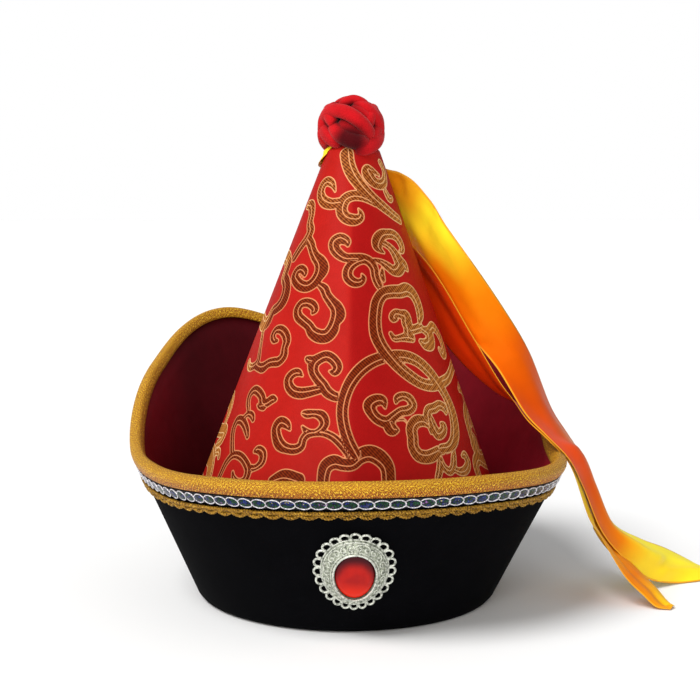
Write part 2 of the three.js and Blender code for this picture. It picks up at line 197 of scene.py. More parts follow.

# The brocade's scrolls on the flat cloth, charted as x, y and half the width at each point. y runs
# down from the crown's point and x from its front line. A scroll's inner line keeps to its left or right,
# as seen along its points.
LEFT_SCROLLS = [
    [(-12, -69.3, .6), (-13, -66, 1.5), (-15, -62.9, 2.6), (-18.2, -61.3, 3.1), (-21.6, -62.8, 3.2),
     (-23, -67, 3.2), (-21.7, -71.5, 3.3), (-18.7, -75, 3.6), (-14.3, -77, 3.5), (-9.5, -77, 3.2)],
    [(-4.9, -46, 4.2), (-4.2, -51, 4), (-2.3, -57, 3.9), (1, -63, 3.8), (5.5, -68.5, 3.6), (11, -73.3, 3.5),
     (17, -76.8, 3.4), (23, -79.3, 3.3), (29, -81, 3.2), (35, -81.5, 3)],
    [(16.5, -57.5, .9), (8.2, -55, 2.6), (8.2, -58, 3.8), (12.5, -63, 3.6), (17, -63.5, 3.4), (21, -61, 3),
     (22.5, -57, 2.6), (22.5, -52, 2.4), (19, -48, 2.2)],
    [(22, -67, 2), (25.5, -70.5, 2.6), (28.5, -69, 1.6)],
    [(31.8, -104, .8), (34, -102.8, 2), (34, -99.3, 2.9), (31, -95.8, 3.1), (26.5, -94.3, 3.1),
     (21.5, -95, 3), (17.5, -96.5, 3.6), (14.8, -100, 4), (14.3, -103.5, 3.4), (16, -106, 2),
     (19, -107.5, .7)],
    [(-32.3, -181.8, .7), (-35.5, -179.3, 2.4), (-39, -179.5, 2.9), (-42.2, -182.3, 3.2),
     (-41.8, -186.5, 3.3), (-38.5, -190.3, 3.4), (-33.5, -192, 3.5), (-28, -191.8, 3.2), (-22, -191, 2.8)],
    [(-14.8, -180.3, .8), (-11.5, -181, 2.4), (-10, -178, 3), (-12.3, -173.8, 3.2), (-16.5, -171.3, 3.3),
     (-21, -172.3, 3.4), (-25, -175, 3.8), (-25, -180, 3.3), (-22.3, -184.5, 3.2), (-18.8, -188.5, 3.2),
     (-16.5, -192.3, 3.4), (-12, -195.3, 3), (-8, -196, 2.8)],
    [(-24, -173.5, 3), (-28, -172.5, 2.6), (-29.5, -171.5, 1.6)],
    [(-40.3, -213.3, .8), (-43, -209.5, 2.9), (-47.5, -207.7, 3.4), (-50.3, -210.5, 3.4), (-49.8, -216, 3.6),
     (-47.3, -221, 3.8), (-42.3, -224, 3), (-36.5, -225, 3), (-32.8, -223.5, 2.8), (-31.5, -219.5, 2.6),
     (-28.5, -216.8, 2.6), (-23, -216.5, 2), (-18, -216.8, 2.2), (-12.5, -219.3, 2.4), (-7.5, -224, 2.4),
     (-3.5, -229.5, 2)],
    [(-32, -212, .9), (-30, -214.3, 1.7), (-25.5, -216.2, 1.6), (-20.5, -214.8, 2.3), (-17.8, -211, 3),
     (-19.5, -206.8, 3.3), (-24, -205, 2.4), (-29, -204.8, 2.6), (-31.2, -204.2, 1.8)],
    [(46.5, -158.5, 1.6), (51, -159.5, 3.5), (56.5, -157, 4.6), (56.5, -151.5, 4.6), (51, -150.5, 2.4),
     (47, -149.5, 2.4)],
    [(19, -202.3, .8), (17.5, -198, 2.8), (12.5, -198, 3.6), (9, -200.8, 3.9), (10.8, -205.5, 3.4),
     (14.5, -209, 3.3), (20, -210.5, 3.4), (25, -206.8, 2.8), (29.5, -203.8, 2.7), (35, -202.5, 2.9),
     (38.3, -199.3, 2.8), (36, -195.7, 2.8), (31.5, -194.3, 2.4), (27, -196, 2.3), (26.2, -198.5, 1.2)],
    [(21, -211, 4), (23, -214.5, 4), (26.8, -215, 1.6)],
    [(52, -214, 1.2), (50.5, -209.8, 2.2), (46, -207.8, 3.2), (40.5, -208.8, 3.8), (37, -213, 3.9),
     (37.6, -218.5, 3.8), (38, -224, 3.8), (41.5, -228.5, 4), (47.5, -229.2, 3.9), (53, -227.3, 3.9),
     (58, -224, 3), (64, -222.4, 2.8), (69, -221, 2.4)],
    [(52, -206, 2.4), (54.5, -211, 3.2), (57.5, -214.3, 3.3), (62.5, -211.5, 3), (63.5, -208.2, 2.4),
     (61, -207.2, 1.3)],
    [(56, -241, 2.4), (57.8, -235, 2.6), (58.5, -230, 2.4)],
    [(59, -229, 1.6), (61.5, -233.5, 2.2), (66.5, -235.5, 2.4), (70, -231.5, 2.6), (71, -226, 2.4),
     (72, -222.5, 1)],
    [(-146, -174, 4), (-132, -171.5, 5), (-119, -172.5, 5.5), (-109.5, -177, 5.5), (-106, -184, 5),
     (-108, -191, 3.6)],
    [(-150, -199, 6), (-133, -205.5, 7), (-122, -213, 6.5), (-118, -222, 6), (-118, -234, 5)],
    [(128, -179.5, 2.8), (114, -182, 3.4), (103, -186.5, 4.4), (96.5, -193.5, 4.8), (97.5, -202, 4.8),
     (101, -210, 4.6), (106, -215, 3.8), (116, -214, 3.4), (130, -208, 3)],
    [(130, -216, 3), (116, -219, 3.4), (103, -220, 4), (97.5, -225, 4.2), (100, -232, 4), (104, -240, 3.6)],
    [(52, -84, .4), (56, -90, .7), (61.5, -99, .7), (67, -108, .4)],
    [(27, -209.3, .4), (31, -208.3, .8), (34.5, -210.5, .4)],
]
RIGHT_SCROLLS = [
    [(2.3, -81.2, .5), (3.8, -84, 1.5), (3.3, -87, 2.4), (-.5, -88.3, 3.6), (-4.8, -87, 3.6),
     (-7.5, -83.5, 3.5), (-7.6, -79, 3.5), (-5.5, -75, 3.4), (-1.5, -73, 3.3), (4, -73.3, 2.9),
     (9.5, -75.5, 2.2), (13, -77.5, 1.5)],
    [(19, -101.5, 2), (23, -103, 2.2), (27, -106, 3), (30, -109.5, 4), (32, -112.5, 4.2), (29.5, -116.5, 4),
     (25.5, -117.5, 3.2), (21, -115.5, 2.6), (16.5, -113.5, 1.8), (12, -112.5, .9)],
    [(32, -110, 3), (35.5, -112, 3), (38, -114.5, 1.2)],
    [(-4, -104.3, .9), (-4.8, -101.5, 2.6), (-8.5, -99.8, 3.6), (-12, -101.5, 3.6), (-12.2, -105, 3.4),
     (-9.5, -109, 3.2), (-5.5, -111.7, 2.9), (-.5, -112, 2.8), (4.5, -112.3, 3), (9, -114, 3),
     (12, -118, 2.8), (12.8, -123, 2.7), (15, -128, 2.6), (17.5, -130.5, 1.8)],
    [(17.5, -118.5, 1.2), (17.5, -122, 1.8), (18.5, -125, 1.2)],
    [(4.3, -122, .6), (5.3, -124.5, 1.6), (3.2, -127, 2.4), (-.5, -127, 3), (-3.7, -124, 3.1), (-4, -120, 3),
     (-2, -116.5, 2.9), (2, -114, 2.6), (5.5, -113, 2.5)],
    [(-32, -95, 3.2), (-28.8, -100, 3.2), (-27.2, -104.5, 3), (-24.8, -109, 3.4), (-21.5, -113, 4.2),
     (-20.3, -117.3, 4.8), (-22.5, -121.5, 4), (-26, -125.3, 3.8), (-30.5, -126.8, 3.6), (-35.5, -125, 3.6),
     (-39.5, -121.3, 3.6), (-41.5, -117.3, 3.3), (-39.5, -114.3, 2.9), (-35.8, -114.3, 2.9),
     (-33, -116.8, 2.7), (-32.6, -119.3, 1.2)],
    [(-23, -126.3, 1.6), (-18.5, -130, 3), (-16.8, -134, 3), (-14, -138, 3.3), (-10.5, -142.5, 4),
     (-9.7, -146.8, 4.4), (-11.8, -151, 3.4), (-13.3, -155.5, 4), (-16.8, -159, 4.2), (-21.5, -158.8, 4.2),
     (-26, -156, 3.8), (-28.6, -151.8, 3.2), (-32.5, -148.3, 3.2), (-36.5, -144.3, 3.3), (-37.2, -140.2, 3.2),
     (-34.5, -137, 2.9), (-30, -137, 2.9), (-26, -139.3, 3), (-24.6, -142, 2.6), (-26, -144, 1.4)],
    [(-53, -156.3, 1.2), (-56.3, -155, 2.2), (-58, -151.5, 2.6), (-55.5, -148.8, 2.6), (-51, -149.5, 2.9),
     (-46.8, -153, 3.2), (-44.8, -158, 3.2), (-46.3, -162.5, 2.8), (-46.8, -167, 3.2), (-50.5, -169.8, 3.2),
     (-55.5, -169.3, 3), (-60, -169, 3), (-64.5, -170.3, 3.6), (-69, -169, 3), (-73, -166.5, 3)],
    [(-72, -143, 1.6), (-71.3, -150, 1.7), (-71.3, -158, 1.9), (-72, -164.5, 2.5), (-78, -166, 2.6),
     (-84, -163.5, 2.4), (-87, -159, 2)],
    [(-60, -96, 4.5), (-53.5, -101, 4.3), (-51.3, -107, 4.2), (-53.5, -113, 3.8), (-50, -119, 4),
     (-49, -125, 4.5), (-51.5, -131, 4.8), (-57, -133.5, 4), (-62, -134, 3.8), (-67, -139, 4.8),
     (-73, -138.5, 4.6), (-79, -133.5, 4.5), (-87, -127, 4.5)],
    [(-36, -70.5, 3), (-31.5, -73, 3.4), (-30, -79, 2.8), (-31, -85, 2.8), (-29.8, -91, 3.2), (-33, -95.5, 3),
     (-38.5, -99.5, 3), (-44, -104, 3)],
    [(-75.5, -194.5, 1.8), (-77, -189.5, 2.2), (-76, -184.8, 2.6), (-71.8, -183, 2.8), (-67.3, -185.2, 3),
     (-63.5, -189.3, 3), (-62, -193.5, 3.4), (-58.5, -194, 2.9), (-54.5, -192.7, 2.9), (-51.8, -193.3, 1.6)],
    [(-61.5, -195.5, 3), (-65, -195, 1.8), (-67, -193.5, .8)],
    [(-88.5, -218, 2.4), (-90.5, -210, 2.4), (-91, -203, 2.8), (-88, -198.5, 3), (-83, -199.3, 3),
     (-78.5, -203, 3), (-75.3, -208, 2.6), (-74, -212, 1.6)],
    [(-80, -198.5, 1.8), (-75.5, -197.3, 2), (-71.5, -199.3, 2.4), (-70, -202.3, 1.6)],
    [(-100, -231, 2.4), (-94, -223.5, 2.6), (-87, -220.6, 2.5), (-80, -222.6, 2.7), (-74.5, -227.2, 2.8),
     (-71.2, -233, 3), (-73.5, -238.5, 2.6), (-79, -238.8, 2.2), (-84, -235.5, 2), (-85.5, -231.5, 1.2)],
    [(-70, -232, 2.4), (-65, -232.3, 2), (-60.3, -229.5, 2.8), (-60, -224.5, 3), (-63.8, -221.8, 2.6),
     (-66.5, -222.3, 1.4)],
    [(-52, -242, 3), (-44, -240, 4), (-34, -243, 4)],
    [(-18.5, -250, 3.6), (-18.5, -242, 3.8), (-16.8, -236, 4.2), (-12, -233.5, 4.2), (-6.5, -235, 3.6),
     (-1.5, -234.5, 4), (3, -230.5, 4.6), (9, -228.9, 4.8), (15.5, -231.5, 4.9), (20, -236.5, 4.6),
     (21, -243, 4.4), (20.5, -250, 4.4)],
    [(27.8, -148, .8), (24.8, -147.3, 2.9), (26.5, -144.5, 2.6), (31, -144.5, 2.8), (34.5, -145, 3.6),
     (35.5, -149.5, 4.2), (37.5, -152.8, 3), (42.5, -151.5, 2.8), (47, -149.5, 3)],
    [(23, -157.3, 1.3), (25.5, -160, 1.8), (30.5, -159, 2.1), (35.5, -157.8, 3), (39, -158, 2.6)],
    [(35.5, -152, 3), (36.5, -156.5, 3.5)],
    [(57, -148.5, 3), (62, -145, 3.4), (68, -146, 3.6), (73.5, -150, 4), (75, -156, 4), (71.5, -160.3, 3),
     (67.5, -158.5, 2)],
    [(50.5, -209, 2.4), (49.3, -203.5, 3.2), (50.5, -200.3, 2.9), (55.5, -198.5, 3), (60.5, -195.8, 2.8),
     (65.5, -196.8, 2.8), (66.5, -199.5, 1.3)],
    [(71, -233.5, 1.8), (77, -234, 2.4), (83, -231.5, 3), (86.5, -226.5, 3.1), (83.5, -222.5, 2.6),
     (80.5, -223.5, 1.4)],
    [(-142, -184.5, 4), (-128, -190.5, 4.4), (-115, -196, 4.4), (-105, -200.5, 4.2), (-108, -205, 3.4),
     (-118, -204.5, 2.4)],
    [(-114, -211, 2.4), (-108, -213, 2.4), (-106, -217, 1.6)],
    [(104, -198, 1), (110, -193.5, 1.8), (120, -190, 1.6)],
    [(122, -166.5, 2.6), (110, -169, 4.2), (99, -173.5, 3.8), (91.5, -177.5, 1.6)],
]
SCROLLS = [("left", rows) for rows in LEFT_SCROLLS] + [("right", rows) for rows in RIGHT_SCROLLS]

# The two large rings that pass through each other. The second lies over the first where x is less than
# RING_CROSSING, and under it elsewhere.
RING_CROSSING = 50
RINGS = [
    ("right", [
        (.5, -229, 3.2), (-3.2, -222, 3.3), (-6.2, -213, 3.4), (-7.2, -204, 3.4), (-5.6, -195, 3.5),
        (-2.2, -187, 3.7), (3, -180.3, 3.9), (9.5, -175.5, 3.9), (17, -172.5, 3.6), (25, -170.8, 3.6),
        (34, -170.2, 3.6), (42, -171.5, 3.6), (50, -174.8, 3.8), (57, -179, 3.8), (64, -184.5, 3.8),
        (70, -190.5, 4), (73.8, -197, 4.5), (75.2, -204, 4.6), (74.5, -211, 4.4), (71.5, -217, 3.8),
        (66.5, -220.8, 3), (60, -222.5, 2.6)
    ]),
    ("left", [
        (46.5, -146, 1.6), (47.8, -140, 3.6), (46, -133.5, 4), (41.5, -128.8, 4.1), (36, -127.7, 4.2),
        (30.5, -130, 4), (24, -131.2, 3.9), (18, -133.3, 3.8), (14.2, -138.5, 3.9), (12.9, -145, 3.9),
        (12.5, -152, 4), (13.5, -159, 4.1), (17, -165.8, 4), (22.5, -172, 3.9), (29, -177.5, 3.8),
        (37, -182, 3.8), (45, -184.8, 3.6), (53, -185, 3.5), (60, -183, 3.4), (67, -179.5, 3.4),
        (74, -175.3, 3.2), (81, -169, 3.2), (88.5, -162.5, 3.4), (99, -157, 3.8), (113, -153, 3.6),
        (130, -150, 3.2)
    ]),
]

# The knot: its middle, the ball inside it, and its cords as seen from the front and from the side. Each has
# its radius, and then x, z and how far from the middle it lies at each point.
KNOT = {"x": 3.1, "z": 287.7, "core": 9.5}
KNOT_CORDS = [
    (3.2, [(-7, 9, 12.5), (-4, 13, 15.4), (1, 15, 16.6), (6, 13.4, 16.2), (9.5, 10.5, 15.2)]),
    (4.4, [(-15.6, -1, 12), (-15, 4.5, 15.4), (-11.5, 8.2, 16.6), (-5, 7.6, 17.6), (1.4, 4.2, 18),
        (6.8, -.6, 17.4), (9.8, -5.2, 15.6), (8.4, -9, 12)]),
    (4.2, [(2, 11.4, 13.4), (8.6, 9.4, 15.6), (13.6, 4.8, 16), (16.2, -.8, 16.4), (16, -7, 17.2)]),
    (3, [(0, 9.6, 13.4), (5.5, 7.6, 14.8), (9.6, 4, 15.2), (11.6, 0, 14.6)]),
    (4.6, [(16.4, -2, 15), (15.6, -8, 17.8), (12.4, -12, 20.4), (7.4, -14.4, 21.6), (2, -14.8, 21)]),
    (4.3, [(-8, 11.4, 13.6), (-13, 8, 15.4), (-16, 2, 16), (-15.4, -4, 16), (-12, -8.6, 16.2),
        (-7, -10.8, 16.4)]),
    (5, [(-10.5, -1, 13), (-7, -6, 16), (-1.5, -9, 18), (4, -10.5, 19), (8, -12, 18.6)]),
    (4.2, [(-6, 1, 12.4), (-1.5, -2.6, 14.4), (3.5, -6.2, 15.4), (8, -9.6, 15.8)]),
]
KNOT_SIDE_CORDS = [
    (4.2, [(-12, 1, 14.5), (-8, 6.6, 15.4), (-1, 9, 15.6), (6, 6, 15.6), (11, .5, 15)]),
    (4.2, [(-11, -9, 16), (-5, -3.5, 15.6), (1.5, -3, 15.6), (7, -6.5, 15.8), (10.5, -11, 16.4)]),
]


def linear(text):
    """A web colour such as E02A24 as linear red, green, blue."""
    shares = [int(text[i:i + 2], 16) / 255 for i in (0, 2, 4)]
    return tuple(s / 12.92 if s <= 0.04045 else ((s + 0.055) / 1.055) ** 2.4 for s in shares)


def colour_property(name, text, description):
    return FloatVectorProperty(
        name=name, description=description, default=linear(text), size=3, min=0, max=1, subtype="COLOR")


def number_property(name, default, least, most, description, kind=FloatProperty):
    return kind(name=name, description=description, default=default, min=least, max=most)


class BrocadeSettings(bpy.types.PropertyGroup):
    ground: colour_property("Ground", "A61A14", "The brocade's red ground")
    fill: colour_property("Scrolls", "7E2C0C", "The scrolls' brown filling, where they face the light")
    line: colour_property("Lines", "F4CA8E", "The pale gold lines round the scrolls")
    line_width: number_property(
        "Line Width", 0.66, 0.2, 2, "Width of the scrolls' lines on the cloth, in millimetres")
    crease: number_property("Crease", 4.5, 0, 8, "How far the front crease stands out, in millimetres")


class BrimSettings(bpy.types.PropertyGroup):
    velvet: colour_property("Velvet", "050507", "The brim's outside")
    lining: colour_property("Lining", "760F1C", "The brim's inside")
    gold: colour_property("Gold Binding", "CE9818", "The woven binding over the rim")


class TrimSettings(bpy.types.PropertyGroup):
    links: number_property("Links", 104, 40, 160, "Links of the sequin chain in all", IntProperty)
    scallops: number_property("Scallops", 82, 30, 120, "Waves of the gold braid in all", IntProperty)
    stone: colour_property("Stone", "B8180F", "The medallion's stone")


class RibbonSettings(bpy.types.PropertyGroup):
    wrinkles: number_property("Wrinkles", 0.5, 0, 3, "Height of the ribbons' small folds, in millimetres")


class StageSettings(bpy.types.PropertyGroup):
    floor: colour_property("Floor", "FAFAFA", "The plain floor")
    key: number_property("Key Light", 2.4, 0, 20, "Strength of the soft light from above the front left")
    fill: number_property("Fill Light", 2.1, 0, 20, "Strength of the soft light beside the camera")
    sky: number_property("Sky", 0.4, 0, 2, "Strength of the even light from all round")


# Places on the hat

def hat_origin():
    """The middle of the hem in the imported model, which is the middle of the crown's box."""
    low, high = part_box("crown")
    return np.array([(low.x + high.x) / 2, (low.y + high.y) / 2, 0])


ORIGIN = hat_origin()


def to_frame(points):
    return ORIGIN + np.asarray(points, float) * MM


def rim_value(column, azimuth):
    """A smooth value at an array of azimuths, from one for every RIM_STEP degrees."""
    place = np.mod(azimuth, 360) / RIM_STEP
    row = np.floor(place).astype(int)
    t = place - row
    a, b, c, d = (column[(row + i) % len(column)] for i in (-1, 0, 1, 2))
    return b + 0.5 * t * (c - a + t * (2 * a - 5 * b + 4 * c - d + t * (3 * (b - c) + d - a)))


class Wall:
    """The brim's wall at an array of azimuths."""

    def __init__(self, azimuth):
        turn = np.radians(azimuth)
        across, deep = HEM["half_width"], HEM["half_depth"]
        self.foot = np.stack([across * np.sin(turn), -deep * np.cos(turn)], axis=-1)
        outward = np.stack([deep * np.sin(turn), -across * np.cos(turn)], axis=-1)
        self.outward = outward / np.linalg.norm(outward, axis=-1, keepdims=True)
        self.rise = np.pi / 2 - np.radians(rim_value(RIM_TILT, azimuth))
        self.heel = HEM["heel_radius"] * self.rise
        heel_height = HEM["heel_radius"] * (1 - np.cos(self.rise))
        self.length = self.heel + (rim_value(RIM_HEIGHT, azimuth) - heel_height) / np.sin(self.rise)

    def point(self, along, out):
        """How far along the wall from its foot, and how far out of its outer face."""
        radius = HEM["heel_radius"]
        bend = np.clip(along / radius, 0, self.rise)
        straight = np.maximum(0, along - self.heel)
        offset = np.minimum(0, along) + (radius + out) * np.sin(bend) + straight * np.cos(self.rise)
        z = radius - (radius + out) * np.cos(bend) + straight * np.sin(self.rise)
        return np.concatenate([self.foot + offset[..., None] * self.outward, z[..., None]], axis=-1)

    def straight(self, count):
        """Even places along the wall, from its heel to the rim's edge."""
        return [self.heel + (self.length - self.heel) * i / count for i in range(count + 1)]


def on_rim(azimuth, below, out):
    """A point of the brim's wall, measured down from the rim's edge."""
    wall = Wall(azimuth)
    return wall.point(wall.length - below, out + 0 * azimuth)


def on_medallion(x, y, z):
    """Lays points that were made flat, facing +Z with +Y up, on the front of the brim."""
    per_degree = math.radians(1) * (HEM["half_width"] + MEDALLION["along"] * 0.5)
    return Wall((MEDALLION["across"] + x) / per_degree).point(MEDALLION["along"] + y, z + MEDALLION["gap"])


def crown_section(z):
    """The crown's half width and half depth at a height, and how far it leans to +X there."""
    span = CROWN_LEAN["end"] - CROWN_LEAN["start"]
    lean = CROWN_LEAN["by_x"] * np.maximum(0, z - CROWN_LEAN["start"]) / span
    return np.interp(z, CROWN_HEIGHT, CROWN_HALF_WIDTH), np.interp(z, CROWN_HEIGHT, CROWN_HALF_DEPTH), lean


def crown_point(azimuth, z, out=0.0, crease=0.0):
    """A point out of the crown's outside. crease is how far its front line stands out."""
    turn = np.radians(azimuth)
    half_width, half_depth, lean = crown_section(z)
    x = (half_width + out) * np.sin(turn)
    y = -(half_depth + out) * np.cos(turn)
    from_fold = np.hypot(x - CREASE["x"], CREASE["radius"]) - CREASE["radius"]
    fade = np.clip((CREASE["top"] - z) / CREASE["fade"], 0, 1)
    fold = crease * np.exp(-from_fold / CREASE["reach"]) * (y < 0) * fade
    return np.stack([lean + x, y - fold, z + 0 * x], axis=-1)


def cloth_place(azimuth, z):
    """Where a point of the crown lies on the flat cloth. The back is cut as the front's mirror image."""
    azimuth = (np.asarray(azimuth, float) + 180) % 360 - 180
    back = np.abs(azimuth) > 90
    azimuth = np.where(back, np.sign(azimuth) * 180 - azimuth, azimuth)
    away = CLOTH_SLOPE * (CLOTH_APEX - z)
    turn = CLOTH_TURN * np.radians(azimuth)
    return away * np.sin(turn), -away * np.cos(turn)


def through(points, t):
    """A smooth curve through the points, by the square root of their distances, at shares t of its steps."""
    points = np.asarray(points, float)
    points = np.vstack([2 * points[0] - points[1], points, 2 * points[-1] - points[-2]])
    place = np.clip(t, 0, 1) * (len(points) - 3)
    row = np.minimum(np.floor(place).astype(int), len(points) - 4)
    a, b, c, d = (points[row + i] for i in range(4))
    step_a, step_b, step_c = (
        np.sqrt(np.maximum(np.linalg.norm(q - p, axis=-1, keepdims=True), 1e-4))
        for p, q in ((a, b), (b, c), (c, d)))
    leave = ((b - a) / step_a - (c - a) / (step_a + step_b) + (c - b) / step_b) * step_b
    reach = ((c - b) / step_b - (d - b) / (step_b + step_c) + (d - c) / step_c) * step_b
    t = (place - row)[..., None]
    return b + t * (leave + t * (3 * (c - b) - 2 * leave - reach + t * (2 * (b - c) + leave + reach)))


# Meshes

def placed_grid(columns, rows, place, weld=True):
    """A grid whose points go to place(u, v), with u and v from 0 to 1 kept as its UV map."""
    bm = bmesh.new()
    bm.loops.layers.uv.new("UVMap")
    bmesh.ops.create_grid(bm, x_segments=columns, y_segments=rows, size=0.5, calc_uvs=True)
    spots = np.array([vert.co for vert in bm.verts]) + 0.5
    for vert, point in zip(bm.verts, to_frame(place(spots[:, 0], spots[:, 1]))):
        vert.co = point
    if weld:
        bmesh.ops.remove_doubles(bm, verts=bm.verts, dist=1e-6)
    return bm


def folded(places, outer, inner):
    """The outline of a layer: along its outer face, and back along its inner one."""
    return [(along, outer) for along in places] + [(along, inner) for along in reversed(places)]


def band(columns, section):
    """A closed band round the hat, with section(wall) as its outline: pairs of along and out."""
    count = len(section(Wall(np.zeros(1))))

    def place(u, v):
        wall = Wall(360 * u)
        outline = section(wall)
        index = np.rint(v * count).astype(int) % count
        along, out = (np.choose(index, [np.broadcast_to(pair[part], u.shape) for pair in outline])
                      for part in (0, 1))
        return wall.point(along, out)

    return placed_grid(columns, count, place)


def tube(path, radius, sides, steps):
    """A round cord along path(t), which takes shares and gives millimetres. radius may be a function of t."""
    middle = path(np.linspace(0, 1, steps + 1))
    ahead = np.gradient(middle, axis=0)
    ahead /= np.linalg.norm(ahead, axis=1, keepdims=True)
    side = np.zeros_like(middle)
    askew = (0.31, 0.52, 0.8)
    guess = np.cross(ahead[0], askew)
    for i, way in enumerate(ahead):
        guess = guess - way * guess.dot(way)
        guess /= np.linalg.norm(guess)
        side[i] = guess
    up = np.cross(ahead, side)

    def place(u, v):
        row = np.rint(u * steps).astype(int)
        turn = 2 * np.pi * v
        reach = radius(u) if callable(radius) else radius + 0 * u
        across = np.cos(turn)[:, None] * side[row] + np.sin(turn)[:, None] * up[row]
        return middle[row] + reach[:, None] * across

    bm = placed_grid(steps, sides, place)
    bmesh.ops.holes_fill(bm, edges=[edge for edge in bm.edges if edge.is_boundary])
    bmesh.ops.recalc_face_normals(bm, faces=bm.faces)
    return bm


def mesh_from(name, bm):
    """A mesh with the shape of a bmesh, which is freed."""
    mesh = bpy.data.meshes.new(name)
    bm.to_mesh(mesh)
    bm.free()
    return mesh


def joined(parts):
    """One bmesh with all the parts, which are freed."""
    whole = bmesh.new()
    for part in parts:
        mesh = mesh_from("part", part)
        whole.from_mesh(mesh)
        bpy.data.meshes.remove(mesh)
    return whole


def new_object(name, data):
    """An object in the scene."""
    made = bpy.data.objects.new(name, data)
    bpy.context.scene.collection.objects.link(made)
    return made


def piece(name, bm, material, slot, *nodes):
    """Makes a finished piece of the hat that stands for its nodes."""
    mesh = mesh_from(name, bm)
    mesh.shade_smooth()
    mesh.materials.append(material)
    made = new_object(name, mesh)
    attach(made, "root")
    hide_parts(*nodes)
    return made


# The brocade's pattern

def extent(rows):
    """The least and greatest x and y of a scroll."""
    xs, ys, _ = zip(*rows)
    return min(xs), max(xs), min(ys), max(ys)


def scroll_field(scroll, x, y):
    """Millimetres of cloth from its points to a scroll's edge, negative inside, and to its inner line."""
    side, rows = scroll
    smooth = through(rows, np.linspace(0, 1, 5 * len(rows)))
    edge = np.full(x.shape, FAR)
    vein = np.full(x.shape, FAR)
    sign = 1 if side == "left" else -1
    for (ax, ay, aw), (bx, by, bw) in zip(smooth[:-1], smooth[1:]):
        dx, dy = bx - ax, by - ay
        length = math.hypot(dx, dy)
        if length < 1e-6:
            continue
        t = np.clip(((x - ax) * dx + (y - ay) * dy) / length ** 2, 0, 1)
        away = np.hypot(x - ax - t * dx, y - ay - t * dy)
        width = aw + t * (bw - aw)
        lateral = (dx * (y - ay) - dy * (x - ax)) / length
        closer = away - width < edge
        edge = np.where(closer, away - width, edge)
        line = np.where(width < THIN, FAR, lateral - sign * np.maximum(0.12 * width, width - INNER_BAND))
        vein = np.where(closer, line, vein)
    return edge, vein


def repeated_scrolls():
    """Copies of the middle scrolls that carry the pattern on round the sides and down behind the brim."""
    copies = []
    for side, rows in SCROLLS:
        left, right, bottom, top = extent(rows)
        for shift, low, high in SIDE_COPIES:
            if low < left and right < high:
                copies.append((side, [(x + shift, y, width) for x, y, width in rows]))
        if LOWER_COPIES["low"] < bottom and top < LOWER_COPIES["high"]:
            wide, down = LOWER_COPIES["widen"], LOWER_COPIES["down"]
            for shift in LOWER_COPIES["shifts"]:
                copies.append((side, [(wide * x + shift, y - down, width) for x, y, width in rows]))
    return copies


def brocade_field(x, y):
    """The whole pattern at each point of the cloth: distances to its edges and to its inner lines."""
    edge = np.full(x.shape, FAR)
    vein = np.full(x.shape, FAR)
    for scroll in SCROLLS + repeated_scrolls() + RINGS:
        left, right, bottom, top = extent(scroll[1])
        near = (x > left - FAR) & (x < right + FAR) & (y > bottom - FAR) & (y < top + FAR)
        if not near.any():
            continue
        new_edge, new_vein = scroll_field(scroll, x[near], y[near])
        old_edge, old_vein = edge[near], vein[near]
        wins = new_edge < (LINE_REACH if scroll in RINGS else old_edge)
        if scroll is RINGS[1]:
            wins &= (x[near] < RING_CROSSING) | (old_edge > LINE_REACH)
        edge[near] = np.where(wins, new_edge, np.minimum(old_edge, new_edge))
        vein[near] = np.where(wins, new_vein, old_vein)
    return edge, vein


# Shaders

